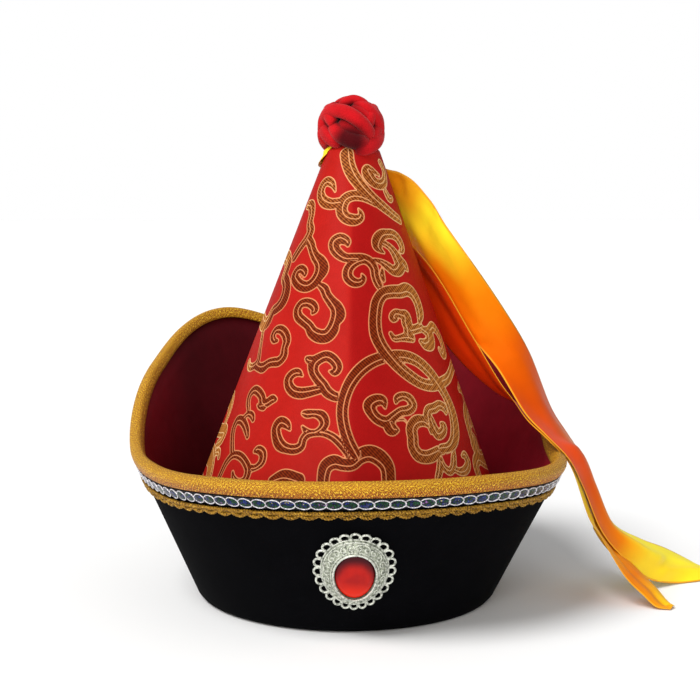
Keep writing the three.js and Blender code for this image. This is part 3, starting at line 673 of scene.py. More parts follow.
class Shader:
    """A node tree, with short ways to add nodes and feed them."""

    def __init__(self, tree):
        self.tree = tree

    def node(self, kind, inputs=None, **settings):
        made = self.tree.nodes.new(kind)
        for name, value in settings.items():
            setattr(made, name, value)
        for name, value in (inputs or {}).items():
            self.feed(made.inputs[name], value)
        return made

    def feed(self, socket, value):
        if isinstance(value, bpy.types.NodeSocket):
            self.tree.links.new(value, socket)
        else:
            socket.default_value = value

    def math(self, operation, first, second=0.0):
        return self.node("ShaderNodeMath", {0: first, 1: second}, operation=operation).outputs[0]

    def plus(self, first, second):
        return self.math("ADD", first, second)

    def times(self, first, second):
        return self.math("MULTIPLY", first, second)

    def larger(self, first, second):
        return self.math("MAXIMUM", first, second)

    def step(self, value, low, high, start=0.0, end=1.0):
        """Goes smoothly from start to end as the value goes from low to high."""
        inputs = {"Value": value, "From Min": low, "From Max": high, "To Min": start, "To Max": end}
        return self.node("ShaderNodeMapRange", inputs, interpolation_type="SMOOTHSTEP").outputs["Result"]

    def split(self, vector):
        """The x, y and z of a vector."""
        return self.node("ShaderNodeSeparateXYZ", {0: vector}).outputs

    def noise(self, vector, scale, detail=3.0, roughness=0.55):
        inputs = {"Vector": vector, "Scale": scale, "Detail": detail, "Roughness": roughness}
        return self.node("ShaderNodeTexNoise", inputs).outputs[0]

    def colour(self, value):
        """A colour that comes through a socket as it is, and a web colour or a setting with its alpha."""
        if isinstance(value, bpy.types.NodeSocket):
            return value
        return (*(linear(value) if isinstance(value, str) else value), 1)

    def mix(self, share, first, second, blend="MIX"):
        inputs = {0: share, 6: self.colour(first), 7: self.colour(second)}
        return self.node("ShaderNodeMix", inputs, data_type="RGBA", blend_type=blend).outputs[2]

    def toned(self, colour, tone):
        """The colour times a tone."""
        grey = self.node("ShaderNodeCombineColor", {0: tone, 1: tone, 2: tone}).outputs[0]
        return self.mix(1.0, colour, grey, "MULTIPLY")

    def ramp(self, value, stops):
        """Colours along a value, from pairs of a place and a web colour."""
        made = self.node("ShaderNodeValToRGB", {"Fac": value})
        elements = made.color_ramp.elements
        for element, (place, text) in zip(elements, (stops[0], stops[-1])):
            element.position, element.color = place, self.colour(text)
        for place, text in stops[1:-1]:
            elements.new(place).color = self.colour(text)
        return made.outputs[0]

    def bump(self, height, strength, distance, normal=None):
        inputs = {"Height": height, "Strength": strength, "Distance": distance}
        if normal is not None:
            inputs["Normal"] = normal
        return self.node("ShaderNodeBump", inputs).outputs[0]


class Finish(Shader):
    """A new material round a Principled shader, whose own sockets hold the constants."""

    def __init__(self, name, constants):
        self.material = bpy.data.materials.new(name)
        self.material.use_nodes = True
        super().__init__(self.material.node_tree)
        self.surface = self.tree.nodes["Principled BSDF"]
        for socket, value in constants.items():
            self.surface.inputs[socket].default_value = value

    @cached_property
    def place(self):
        """Object coordinates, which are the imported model's metres."""
        return self.node("ShaderNodeTexCoord").outputs["Object"]

    def attribute(self, name, output="Fac"):
        return self.node("ShaderNodeAttribute", attribute_name=name).outputs[output]

    def uv(self, around=1, across=1):
        """The UV map, scaled to millimetres of cloth where those are given."""
        flat = self.node("ShaderNodeTexCoord").outputs["UV"]
        return self.node("ShaderNodeMapping", {"Vector": flat, "Scale": (around, across, 1)}).outputs[0]

    def distance(self, spot):
        """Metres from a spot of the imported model."""
        made = self.node("ShaderNodeVectorMath", {0: self.place, 1: spot}, operation="DISTANCE")
        return made.outputs["Value"]

    def use(self, tree, **inputs):
        return self.node("ShaderNodeGroup", inputs, node_tree=tree).outputs[0]

    def threads(self, cloth, pitch):
        return self.use(thread_group(), Cloth=cloth, Pitch=pitch)

    def uneven(self, colour, scale, amount):
        """The colour with the uneven tone of cloth and metal."""
        return self.toned(colour, self.use(blotch_group(), Place=self.place, Scale=scale, Amount=amount))

    def done(self, colour, normal=None, **others):
        """Feeds what changes over the surface to the shader, and gives the material."""
        self.feed(self.surface.inputs["Base Color"], self.colour(colour))
        if normal is not None:
            self.feed(self.surface.inputs["Normal"], normal)
        for socket, value in others.items():
            self.feed(self.surface.inputs[socket], value)
        return self.material


def group(name, inputs, output, build):
    """A shader node group, built once. Each input and the output is a name with its kind of socket."""
    if name in bpy.data.node_groups:
        return bpy.data.node_groups[name]
    tree = bpy.data.node_groups.new(name, "ShaderNodeTree")
    for label, kind in inputs:
        tree.interface.new_socket(name=label, in_out="INPUT", socket_type=kind)
    tree.interface.new_socket(name=output[0], in_out="OUTPUT", socket_type=output[1])
    entry = tree.nodes.new("NodeGroupInput")
    leave = tree.nodes.new("NodeGroupOutput")
    tree.links.new(build(Shader(tree), entry.outputs), leave.inputs[output[0]])
    return tree


def thread_group():
    """Diagonal threads: a height from 0 to 1 over millimetres of cloth, by the threads' pitch."""
    def build(shader, given):
        along, across = shader.split(given["Cloth"])[:2]
        turns = shader.math("DIVIDE", 2 * math.pi, given["Pitch"])
        ridge = shader.math("SINE", shader.times(shader.plus(along, across), turns))
        slant = shader.times(shader.math("SUBTRACT", along, across), turns)
        cross = shader.math("SINE", shader.times(slant, 0.5))
        return shader.plus(shader.plus(shader.times(ridge, 0.32), shader.times(cross, 0.18)), 0.5)

    return group("Diagonal Threads", [("Cloth", "NodeSocketVector"), ("Pitch", "NodeSocketFloat")],
                 ("Height", "NodeSocketFloat"), build)


def blotch_group():
    """Uneven tone of cloth and metal: a factor round 1 over object coordinates."""
    def build(shader, given):
        large = shader.noise(given["Place"], given["Scale"], 3)
        fine = shader.noise(given["Place"], shader.times(given["Scale"], 7), 4)
        both = shader.plus(shader.times(large, 0.65), shader.times(fine, 0.35))
        return shader.plus(shader.times(shader.math("SUBTRACT", both, 0.5), given["Amount"]), 1.0)

    return group("Uneven Tone", [("Place", "NodeSocketVector"), ("Scale", "NodeSocketFloat"),
                                 ("Amount", "NodeSocketFloat")], ("Tone", "NodeSocketFloat"), build)


def brocade_finish(settings):
    """The pattern from its distances on the mesh, with a painted gold sheen where the crown turns away to its
    sides and near its top, and painted shade on the red ground right of the front crease.
    around is 0 at its left side, half of CROWN_FRONT_SHARE at the front, and that share at its right side."""
    look = Finish("Brocade", {"Specular IOR Level": 0.04})
    edge, vein, cloth = look.attribute("edge"), look.attribute("vein"), look.attribute("cloth", "Vector")
    around, up = look.split(look.uv())[:2]
    half = settings.line_width / 2
    inside = look.step(edge, -0.15, 0.15, 1, 0)
    outline = look.step(look.math("ABSOLUTE", edge), half - 0.18, half + 0.18, 1, 0)
    inner = look.times(inside, look.step(look.math("ABSOLUTE", vein), half - 0.22, half + 0.18, 1, 0))
    lines = look.larger(outline, inner)
    # Painted sheen: the scrolls' filling and lines turn gold towards the crown's right and left sides and
    # near its top
    sheen_on_right_side = look.times(look.step(around, 0.36, 0.6), look.step(around, 0.64, 0.74, 1, 0.6))
    sheen_on_left_side = look.step(around, 0.09, 0.055, 0, 0.8)
    painted_gold_sheen = look.larger(look.larger(sheen_on_right_side, sheen_on_left_side), look.step(up, 0.7, 0.95, 0, 0.3))
    ribs = look.step(look.threads(cloth, 2.1), 0.3, 0.8)
    filling = look.mix(painted_gold_sheen, look.mix(ribs, "521605", settings.fill), look.mix(ribs, "7C4014", "E89C4A"))
    line_with_painted_sheen = look.mix(painted_gold_sheen, "CE8256", settings.line)
    # Painted shade: the red ground is darker right of the front crease
    painted_shade_right_of_crease = look.times(look.step(around, 0.312, 0.327), look.step(around, 0.5, 0.36))
    ground = look.uneven(look.mix(painted_shade_right_of_crease, settings.ground, "981110"), 60, 0.5)
    height = look.plus(look.times(look.threads(cloth, 0.9), 0.25), look.plus(look.times(inside, 0.5), lines))
    soft = look.bump(look.noise(look.place, 28, 2), 0.35, 0.004)
    return look.done(
        look.mix(lines, look.mix(inside, ground, filling), line_with_painted_sheen), look.bump(height, 0.5, 0.00035, soft),
        Metallic=look.times(lines, 0.12), Roughness=look.step(look.larger(lines, inside), 0, 1, 0.42, 0.5))


def wrong_side_finish():
    """The wrong side of the brocade, inside the crown."""
    look = Finish("Wrong Side of the Brocade", {"Roughness": 0.75, "Sheen Weight": 0.1})
    weave = look.threads(look.uv(*CROWN_INSIDE), 0.9)
    return look.done(look.uneven("8C1A1A", 50, 0.5), look.bump(weave, 0.5, 0.0003))


def velvet_finish(settings):
    """Dull black with a soft, crushed pile."""
    look = Finish("Black Velvet", {"Roughness": 0.9, "Specular IOR Level": 0.03})
    height = look.plus(look.times(look.noise(look.place, 900, 3), 0.25), look.noise(look.place, 35, 3))
    return look.done(look.uneven(settings.velvet, 45, 1.3), look.bump(height, 0.35, 0.0012))


def lining_finish(settings):
    """Wine red, with painted shade that darkens it towards the back, behind the crown."""
    look = Finish("Wine Red Lining", {"Roughness": 0.5, "Specular IOR Level": 0.05})
    across = look.split(look.place)[0]
    left_rim, left_painted_shade_x, right_painted_shade_x, right_rim = (to_frame((x, 0, 0))[0] for x in LINING_PAINTED_SHADE)
    # Painted shade: the lining turns to 42080F towards the back on both sides, behind the crown
    out_of_painted_shade = look.larger(look.step(across, left_painted_shade_x, left_rim), look.step(across, right_painted_shade_x, right_rim))
    weave = look.threads(look.uv(RIM_ROUND, LINING_ACROSS), 0.7)
    soft = look.bump(look.noise(look.place, 16, 3), 0.5, 0.006)
    return look.done(look.uneven(look.mix(out_of_painted_shade, "42080F", settings.lining), 22, 0.9),
                     look.bump(weave, 0.3, 0.0002, soft))


def gold_binding_finish(settings):
    """Woven gold with painted shade between its raised threads, its face painted browner and darker than its
    crest as painted shade under light from above, and bright specks as painted glints.
    """
    look = Finish("Gold Binding", {
        "Roughness": 0.5, "Metallic": 0.08, "Sheen Weight": 0.02, "Specular IOR Level": 0.25})
    cloth = look.uv(RIM_ROUND, BINDING_ACROSS)
    grain = look.noise(cloth, 1.15, 3, 0.65)
    height = look.plus(look.times(look.threads(cloth, 1.3), 0.3), grain)
    # Painted shade: darker between the threads and lighter on the raised ones, by their height
    lights = look.step(height, 0.5, 0.78)
    face, crest = look.mix(lights, "6A2E04", "C87612"), look.mix(lights, "8E4E04", settings.gold)
    # Painted light: the crest is lighter than the face, as if lit from above
    deep = look.mix(look.step(look.split(cloth)[1], 2.5, 7), face, crest)
    # Painted glints: bright specks where the grain is high
    bright = look.mix(look.step(grain, 0.55, 0.63), deep, "F6D038")
    return look.done(look.uneven(bright, 70, 0.5), look.bump(height, 0.9, 0.0007))


def silver_thread_finish():
    """Pale metal thread, darker in a fine random grain that stands for painted shade between its turns."""
    look = Finish("Silver Thread", {"Roughness": 0.38, "Metallic": 0.25})
    grain = look.noise(look.place, 1500, 3)
    return look.done(look.mix(look.step(grain, 0.4, 0.6), "A09CA6", "FAF8FC"), look.bump(grain, 0.7, 0.0004))


def sequin_finish():
    """Almost black, with flecks of violet, green, blue and pale gold painted as glints of the sequins'
    reflections.
    """
    look = Finish("Dark Sequins", {"Roughness": 0.2, "Metallic": 0.9, "Coat Weight": 0.25})
    # Painted glints: coloured flecks in the near black, for the sequins' reflections
    colour = look.ramp(look.noise(look.place, 260, 4, 0.8), [
        (0.34, "A070B4"), (0.38, "0A0A10"), (0.44, "0A0A10"), (0.455, "2A8A50"), (0.47, "08080C"),
        (0.56, "0A0A12"), (0.58, "3454C0"), (0.6, "0C0C14"), (0.64, "0E0E14"), (0.68, "E8D890")])
    return look.done(colour, look.bump(look.noise(look.place, 700, 2), 0.6, 0.0006))


def gold_braid_finish():
    """Metal thread from dark brown to pale gold."""
    look = Finish("Twisted Gold Braid", {"Roughness": 0.45, "Metallic": 0.2, "Specular IOR Level": 0.3})
    grain = look.noise(look.place, 1100, 4, 0.65)
    dark = look.mix(look.step(grain, 0.38, 0.55), "4A3008", "A67818")
    return look.done(look.mix(look.step(grain, 0.56, 0.68), dark, "E0BA4C"), look.bump(grain, 0.9, 0.0006))


def base_tape_finish():
    look = Finish("Black Tape", {"Roughness": 0.8})
    grain = look.noise(look.place, 900, 3)
    return look.done(look.mix(grain, "08080A", "1C1C22"), look.bump(grain, 0.6, 0.0004))


def cast_silver_finish(name, low, high):
    """Cast metal with a grain, from its low tone in the pits to its high tone."""
    look = Finish(name, {"Metallic": 0.4, "Specular IOR Level": 0.4})
    grain = look.noise(look.place, 750, 4, 0.65)
    patina = look.step(look.noise(look.place, 170, 3), 0.4, 0.7)
    bright = look.toned(high, look.step(patina, 0, 1, 1, 0.86))
    return look.done(look.mix(look.step(grain, 0.36, 0.56), low, bright), look.bump(grain, 0.75, 0.0006),
                     Roughness=look.step(grain, 0.3, 0.7, 0.45, 0.25))


def stone_finish(settings):
    """Red, painted brighter below its middle as painted light and darker in a painted shade arc above, placed
    by the stone's own UV map.
    """
    look = Finish("Red Stone", {"Roughness": 0.14, "Specular IOR Level": 0.2, "IOR": 1.45})
    turn, reach = look.split(look.uv(2 * math.pi))[:2]
    across = look.times(look.math("COSINE", turn), reach)
    upright = look.times(look.math("SINE", turn), reach)
    below = look.plus(upright, 0.3)
    from_painted_glow = look.math("SQRT", look.plus(look.math("POWER", across, 2), look.math("POWER", below, 2)))
    body = look.mix(look.step(look.noise(look.place, 110, 2), 0.3, 0.7), "A01210", settings.stone)
    # Painted light: brighter below the middle, as light through the stone
    painted_glow = look.mix(look.step(upright, -0.1, -0.8), body, "D8260E")
    # Painted shade: a dark arc over the top and upper sides
    painted_shade_arc = look.times(look.step(from_painted_glow, 0.66, 1.16), look.step(upright, -0.45, 0.1))
    return look.done(look.mix(painted_shade_arc, painted_glow, "3E0812"))


def cord_finish():
    """Soft red, with painted shade deep in the knot and in the hollow at its foot."""
    look = Finish("Soft Red Cord", {
        "Roughness": 0.9, "Sheen Weight": 0.08, "Sheen Roughness": 0.5, "Specular IOR Level": 0.05})
    from_middle = look.distance(to_frame((KNOT["x"], 0, KNOT["z"])))
    from_shadowed_hollow = look.distance(to_frame((KNOT["x"] - 1, -18, KNOT["z"] - 9.5)))
    # Painted shade: dark inside the knot's ball and in the hollow at its foot
    outside = look.times(look.step(from_middle, 0.0145, 0.019), look.step(from_shadowed_hollow, 0.005, 0.014))
    dye_and_painted_shading = look.mix(outside, "4A060C", "B81219")
    return look.done(look.uneven(dye_and_painted_shading, 110, 0.9), look.bump(look.noise(look.place, 750, 4), 0.35, 0.001))


def satin_finish(name, length):
    """Orange satin painted yellow where light catches it and deep orange in the shade, by its tone, with a
    bright selvedge.
    """
    look = Finish(name, {
        "Roughness": 0.36, "Specular IOR Level": 0.2, "Specular Tint": (*linear("FFA838"), 1)})
    cloth = look.uv(length, RIBBON_WIDTH)
    across = look.split(cloth)[1]
    from_edge = look.math("MINIMUM", across, look.math("SUBTRACT", RIBBON_WIDTH, across))
    # Painted light: the tone turns the orange yellow where lit and deep red-orange in shade
    dye_and_painted_shading = look.ramp(look.attribute("tone"), [
        (0, "FF420A"), (0.3, "D44C05"), (0.55, "E27808"), (1, "FFEC2E")])
    colour = look.mix(look.step(from_edge, 0.5, 1.3, 1, 0), dye_and_painted_shading, "E8A22C")
    soft = look.bump(look.noise(look.place, 60, 2), 0.2, 0.002)
    return look.done(look.uneven(colour, 25, 0.25), look.bump(look.threads(cloth, 0.6), 0.2, 0.0002, soft))


# The crown

def crown_azimuth(u):
    """The azimuth of a column: the front half has the larger share of the columns."""
    share = CROWN_FRONT_SHARE
    return np.where(u <= share, -90 + 180 * u / share, 90 + 180 * (u - share) / (1 - share))


def keep_pattern(made):
    """Keeps the pattern's distances and the place on the flat cloth as attributes of the crown's mesh."""
    points = (np.array([vert.co for vert in made.data.vertices]) - ORIGIN) / MM
    z = points[:, 2]
    half_width, half_depth, lean = crown_section(z)
    azimuth = np.degrees(np.arctan2((points[:, 0] - lean) / half_width, -points[:, 1] / half_depth))
    x, y = cloth_place(azimuth, z)
    attributes = made.data.attributes
    for name, values in zip(("edge", "vein"), brocade_field(x, y)):
        attributes.new(name, "FLOAT", "POINT").data.foreach_set("value", values.astype(np.float32))
    cloth = np.stack([x, y, 0 * x], axis=-1).astype(np.float32)
    attributes.new("cloth", "FLOAT_VECTOR", "POINT").data.foreach_set("vector", cloth.ravel())


def crown_outside(settings):
    """The brocade, on a mesh fine enough for its pattern."""
    low, high = CROWN_HEIGHT[0], CROWN_HEIGHT[-1]

    def place(u, v):
        return crown_point(crown_azimuth(u), low + v * (high - low), 0, settings.crease)

    bm = placed_grid(CROWN_COLUMNS, CROWN_ROWS, place)
    top = [edge for edge in bm.edges
           if edge.is_boundary and min(vert.co.z for vert in edge.verts) > (high - 1) * MM]
    bmesh.ops.holes_fill(bm, edges=top)
    made = piece("crown_brocade", bm, brocade_finish(settings), "brocade", "crown")
    keep_pattern(made)
    return made


def crown_inner_face():
    """The crown's own inner face, with its rim."""
    def place(u, v):
        up = np.minimum(2 * v, 2 - 2 * v)
        low, high = CROWN_HEIGHT[0], CROWN_HEIGHT[-2]
        outer, inner = CROWN_CLOTH
        z = low + up * (high - low) + np.where(v < 0.5, 0, inner * up)
        return crown_point(360 * u, z, np.where(v < 0.5, outer, inner))

    return piece("crown_inner_face", placed_grid(96, 48, place), wrong_side_finish(), "brocade", "crown")


# The brim

def brim_outside(settings):
    """The velvet, on both faces of the brim's wall and on its turned-in hem."""
    def section(wall):
        return folded([-HEM["inward"], 0, wall.heel / 2, *wall.straight(10)], 0, -SHELL)

    return piece("brim_velvet", band(BRIM_COLUMNS, section), velvet_finish(settings), "velvet", "brim_shell")


def brim_inside(settings):
    def section(wall):
        return folded([LINING_START, 0, *wall.straight(8)], LINING_OUT, LINING_IN)

    lining = band(BRIM_COLUMNS, section)
    return piece("brim_lining_cloth", lining, lining_finish(settings), "lining", "brim_lining")


def rim_binding(settings):
    """The gold braid, folded over the rim with a soft, rounded crest."""
    def section(wall):
        face, back = 1.5, LINING_IN - 1.5
        outline = [
            (-5.6, face - 0.7), (-5.2, face), (-3, face + 0.35), (-0.6, face + 0.2), (1, face - 0.4),
            (1.9, face - 1.6), (2.2, face - 3.2), (2.2, back + 3), (1.8, back + 1.4), (0.9, back + 0.3),
            (-0.8, back), (-3.4, back - 0.2), (-5.7, back), (-6, back + 0.8), (-5.8, back + 1.2),
            (0.3, back + 1.2), (0.3, 0.3), (-5.4, 0.3),
        ]
        return [(wall.length + above, out) for above, out in outline]

    binding = band(BINDING_COLUMNS, section)
    return piece("gold_edge_binding", binding, gold_binding_finish(settings), "gold_binding", "edge_binding")


# The trims

def sequin_tape():
    """The dark tape under the chain."""
    def section(wall):
        low, high = wall.length - TAPE["bottom"], wall.length - TAPE["top"]
        return folded([low, high], TAPE["face"], TAPE["back"])

    tape = band(TAPE_COLUMNS, section)
    return piece("sequin_tape", tape, base_tape_finish(), "silver_braid", "sequin_braid")


def chain_link(azimuth, step, tilt):
    def ring(t):
        turn = 2 * np.pi * t
        across = LINK["share"] * step * np.cos(turn)
        up = LINK["half_height"] * np.sin(turn + tilt)
        return on_rim(azimuth + across, LINK["below"] - up, LINK["out"] + LINK["weave"] * np.cos(turn))

    return tube(ring, LINK["thread"], 6, 20)


def chain_sequin(azimuth, step, lean):
    """A shallow dome inside a link."""
    def place(u, v):
        turn = 2 * np.pi * u
        across, up = v * np.cos(turn), v * np.sin(turn)
        below = LINK["below"] - SEQUIN["half_height"] * up
        out = SEQUIN["out"] + lean * across + SEQUIN["dome"] * (1 - v * v)
        return on_rim(azimuth + SEQUIN["share"] * step * across, below, out)

    return placed_grid(12, 2, place)


def sequin_chain(settings):
    """Silver links all the way round, each round a dark sequin, with small differences between them."""
    links, sequins = [], []
    chance = random.Random(7)
    step = 360 / settings.links
    for i in range(settings.links):
        azimuth = (i + 0.5) * step
        links.append(chain_link(azimuth, step, chance.uniform(-0.12, 0.12)))
        sequins.append(chain_sequin(azimuth, step, chance.uniform(-0.25, 0.25)))
    piece("silver_links", joined(links), silver_thread_finish(), "silver_braid", "sequin_braid")
    return piece("dark_sequins", joined(sequins), sequin_finish(), "silver_braid", "sequin_braid")


def braid_strand(scallops, below, wave, phase):
    """One of two strands that twist round each other, and wave with the scallops."""
    def path(t):
        turn = 2 * np.pi * t * scallops * BRAID["twists_per_scallop"] + phase
        low = below + wave * np.abs(np.sin(np.pi * t * scallops)) + BRAID["twist"] * np.sin(turn)
        return on_rim(360 * t, low, BRAID["out"] + BRAID["depth"] * np.cos(turn))

    return tube(path, BRAID["thread"], 6, scallops * 22)


def scalloped_braid(settings):
    """Two straight strands, and below them two that wave."""
    strands = [braid_strand(settings.scallops, below, wave, phase + half)
               for below, wave, phase in BRAID_PAIRS for half in (0, np.pi)]
    return piece("scalloped_gold_braid", joined(strands), gold_braid_finish(), "gold_braid", "scallop_braid")


# The medallion

def oval(turn, growth):
    """A point beyond the stone's edge, by its growth."""
    across, up = MEDALLION["half_width"] + growth, MEDALLION["half_height"] + growth
    return across * np.cos(turn), up * np.sin(turn)


def dome_height(growth):
    return np.interp(growth, DOME_GROWTH, DOME_HEIGHT)


def medallion_wire(points, radius, steps):
    """A wire through points of turn, growth beyond the stone and height on the medallion."""
    def path(t):
        row = through(points, t)
        return on_medallion(*oval(row[:, 0], row[:, 1]), row[:, 2])

    return tube(path, radius, 6, steps)


def ring_wires():
    whole = np.linspace(0, 2 * np.pi, 49)
    return [medallion_wire([(turn, growth, dome_height(growth) + lift) for turn in whole], radius, 96)
            for growth, radius, lift in RING_WIRES]


def scallop_wires():
    wide = 2 * math.pi / SCALLOPS
    turns = [math.pi / 2 + i * wide for i in range(SCALLOPS)]
    return [medallion_wire([(turn + side * wide, growth, height) for side, growth, height in ARCH],
                           SCALLOP_WIRE, 14)
            for turn in turns]


def scroll_wires():
    """Pairs of scrolls that mirror each other."""
    wide = 2 * math.pi / SCROLL_PAIRS
    turns = [math.pi / 2 + (i + 0.5) * wide for i in range(SCROLL_PAIRS)]
    return [medallion_wire([(turn + hand * wide * side, growth, dome_height(growth) + SCROLL_LIFT)
                            for side, growth in CURL], SCROLL_WIRE, 18)
            for turn in turns for hand in (-1, 1)]


def medallion_plate():
    """The domed plate, with its back."""
    def place(u, v):
        growth = DOME["inner"] + (DOME["outer"] - DOME["inner"]) * np.minimum(2 * v, 2 - 2 * v)
        height = dome_height(growth)
        height = np.where(v < 0.5, height, np.maximum(0, height - DOME["thickness"]))
        return on_medallion(*oval(-2 * np.pi * u, growth), height)

    return placed_grid(96, 20, place)


def medallion():
    plate = cast_silver_finish("Old Silver", "565C50", "B4BAA8")
    piece("medallion_plate", medallion_plate(), plate, "silver", "medallion")
    bright = cast_silver_finish("Bright Silver", "84887E", "E6E9DE")
    wires = ring_wires() + scallop_wires() + scroll_wires()
    return piece("medallion_wires", joined(wires), bright, "silver", "medallion")


def red_stone(settings):
    """The polished stone, rounded over to its setting."""
    def place(u, v):
        x, y = oval(2 * np.pi * u, STONE_GROWTH)
        return on_medallion(x * v, y * v, np.interp(v, STONE_SHARE, STONE_HEIGHT))

    return piece("red_oval_stone", placed_grid(64, 20, place), stone_finish(settings), "red_stone", "stone")


# The knot

def knot_cord(radius, rows, turned):
    """A cord over the knot's ball, turned by degrees from the front."""
    across, out = math.cos(math.radians(turned)), math.sin(math.radians(turned))

    def path(t):
        x, z, reach = through(rows, t).T
        y = -np.sqrt(np.maximum(reach ** 2 - x ** 2 - z ** 2, 0.0))
        return np.stack([KNOT["x"] + across * x - out * y, out * x + across * y, KNOT["z"] + z], axis=-1)

    def tapered(t):
        return radius * (0.75 + 0.25 * np.sqrt(np.clip(1 - (2 * t - 1) ** 6, 0, 1)))

    return tube(path, tapered, 18, 36)


def knot_core():
    """The ball that closes the gaps between the cords."""
    def place(u, v):
        turn, tilt = 2 * np.pi * u, np.pi * (v - 0.5)
        reach = KNOT["core"]
        return np.stack([KNOT["x"] + reach * np.cos(tilt) * np.cos(turn), reach * np.cos(tilt) * np.sin(turn),
                         KNOT["z"] + reach * np.sin(tilt)], axis=-1)

    return placed_grid(32, 16, place)


def cord_knot():
    cords = [knot_cord(radius, rows, turned) for radius, rows in KNOT_CORDS for turned in (0, 180)]
    cords += [knot_cord(radius, rows, turned) for radius, rows in KNOT_SIDE_CORDS for turned in (90, 270)]
    return piece("red_cord_knot", joined(cords + [knot_core()]), cord_finish(), "red_cord", "top_knot")


# The ribbons

def crease_height(creases, along, across):
    """How far soft creases lift the cloth at places in millimetres along and across it."""
    height = np.zeros_like(along)
    for start_x, start_y, end_x, end_y, lift, half_width in creases:
        dx, dy = end_x - start_x, end_y - start_y
        t = np.clip(((along - start_x) * dx + (across - start_y) * dy) / (dx ** 2 + dy ** 2), 0, 1)
        away = np.hypot(along - start_x - t * dx, across - start_y - t * dy)
        height += lift * np.exp(-(away / half_width) ** 2)
    return height


def strip_of_satin(name, place, columns, rows, material, node, painted_light_tones):
    """A strip of satin on place(u, v), with its painted light, as a tone, kept as an attribute."""
    bm = placed_grid(columns, rows, place, weld=False)
    bmesh.ops.solidify(bm, geom=bm.faces[:], thickness=SATIN * MM)
    bmesh.ops.recalc_face_normals(bm, faces=bm.faces)
    table = np.array(painted_light_tones)
    painted_light_of = bm.verts.layers.float.new("tone")
    uv = bm.loops.layers.uv["UVMap"]
    # The tone is painted light, blended from the left edge's value to the right edge's
    for vert in bm.verts:
        u, v = vert.link_loops[0][uv].uv
        left, right = (np.interp(u, table[:, 0], table[:, column]) for column in (1, 2))
        share = min(1, max(0, (v - 0.3) / 0.4))
        vert[painted_light_of] = left + share * share * (3 - 2 * share) * (right - left)
    made = piece(name, bm, material, "satin", node)
    return made


def ribbon(name, material, node, stations, creases, painted_light_tones, length, columns, wrinkles):
    """A ribbon between two edge curves, with creases and small folds along it."""
    table = np.array(stations, float)
    left_edge, right_edge, bulge = table[:, 0:3], table[:, 3:6], table[:, 6]
    middle = (left_edge + right_edge) / 2

    def place(u, v):
        left, right = through(left_edge, u), through(right_edge, u)
        ahead = through(middle, np.minimum(1, u + 0.01)) - through(middle, np.maximum(0, u - 0.01))
        facing = np.cross(ahead, right - left)
        facing /= np.linalg.norm(facing, axis=1, keepdims=True)
        bow = np.interp(u * (len(table) - 1), np.arange(len(table)), bulge)
        free = np.sin(np.pi * v) * np.clip(12 * u, 0, 1)
        waves = np.sin(6 * v + 9 * u) + 0.5 * np.sin(13 * v - 17 * u + 1) + 0.3 * np.sin(41 * u + 5 * v)
        from_edge = np.clip(10 * np.minimum(v, 1 - v), 0.4, 1)
        folds = wrinkles * free * waves + crease_height(creases, u * length, v * RIBBON_WIDTH) * from_edge
        out = 4 * bow * v * (1 - v) + folds
        return left + v[:, None] * (right - left) + out[:, None] * facing

    return strip_of_satin(name, place, columns, 24, material, node, painted_light_tones)


def satin_loop(material):
    """The small fold of ribbon that hangs from under the knot, round the left of the tip."""
    def place(u, v):
        azimuth, low, high, out = through(LOOP_RIBBON, u).T
        fold = out + LOOP["edge_lift"] * np.abs(2 * v - 1) * np.sin(np.pi * u)
        return crown_point(azimuth, low + v * (high - low), fold)

    return strip_of_satin("satin_loop", place, 40, 8, material, "ribbon_loop", LOOP_PAINTED_LIGHT)


# The stage

def stage_floor(settings):
    bm = bmesh.new()
    bmesh.ops.create_circle(bm, cap_ends=True, radius=FLOOR_RADIUS, segments=64)
    floor = new_object("stage_floor", mesh_from("stage_floor", bm))
    look = Finish("Pale Floor", {"Roughness": 0.9, "Specular IOR Level": 0.1})
    floor.data.materials.append(look.done(settings.floor))


def soft_light(name, comes_from, strength, spread, colour=(1, 1, 1)):
    """A wide studio light, as even over the whole floor as daylight through a large screen."""
    light = bpy.data.lights.new(name, "SUN")
    light.energy = strength
    light.angle = math.radians(spread)
    light.color = colour
    made = new_object(name, light)
    made.location = comes_from
    made.rotation_euler = (-Vector(comes_from)).to_track_quat("-Z", "Y").to_euler()


def stage_lights(settings):
    """Two soft lights, and an even sky that the camera sees as white."""
    soft_light("key_light", comes_from=(-0.95, -0.7, 1.7), strength=settings.key, spread=30)
    soft_light("fill_light", comes_from=(-0.35, -1.6, 0.25), strength=settings.fill, spread=45,
               colour=(1, 0.97, 0.92))
    world = bpy.data.worlds.new("Studio")
    world.use_nodes = True
    shader = Shader(world.node_tree)
    background = world.node_tree.nodes["Background"]
    background.inputs["Color"].default_value = (1, 1, 1, 1)
    seen = shader.node("ShaderNodeLightPath").outputs["Is Camera Ray"]
    shader.feed(background.inputs["Strength"], shader.step(seen, 0, 1, settings.sky, 1.0))
    bpy.context.scene.world = world
    bpy.context.scene.view_settings.view_transform = "Standard"


def photograph_camera():
    """A camera where the photograph's was."""
    turn = math.radians(CAMERA["azimuth"])
    yaw = math.atan((PICTURE / 2 - CAMERA["base_x"]) / CAMERA["focal"])
    place = (CAMERA["distance"] * math.sin(turn), -CAMERA["distance"] * math.cos(turn), CAMERA["height"])
    look_along = Euler((math.radians(90 - CAMERA["pitch"]), 0, turn - yaw))
    data = bpy.data.cameras.new("photograph_camera")
    data.sensor_width = SENSOR
    data.lens = SENSOR * CAMERA["focal"] / PICTURE
    camera = new_object("photograph_camera", data)
    camera.matrix_world = Matrix.LocRotScale(Vector(to_frame(place)), look_along, None)
    bpy.context.scene.camera = camera


# Operators and panel

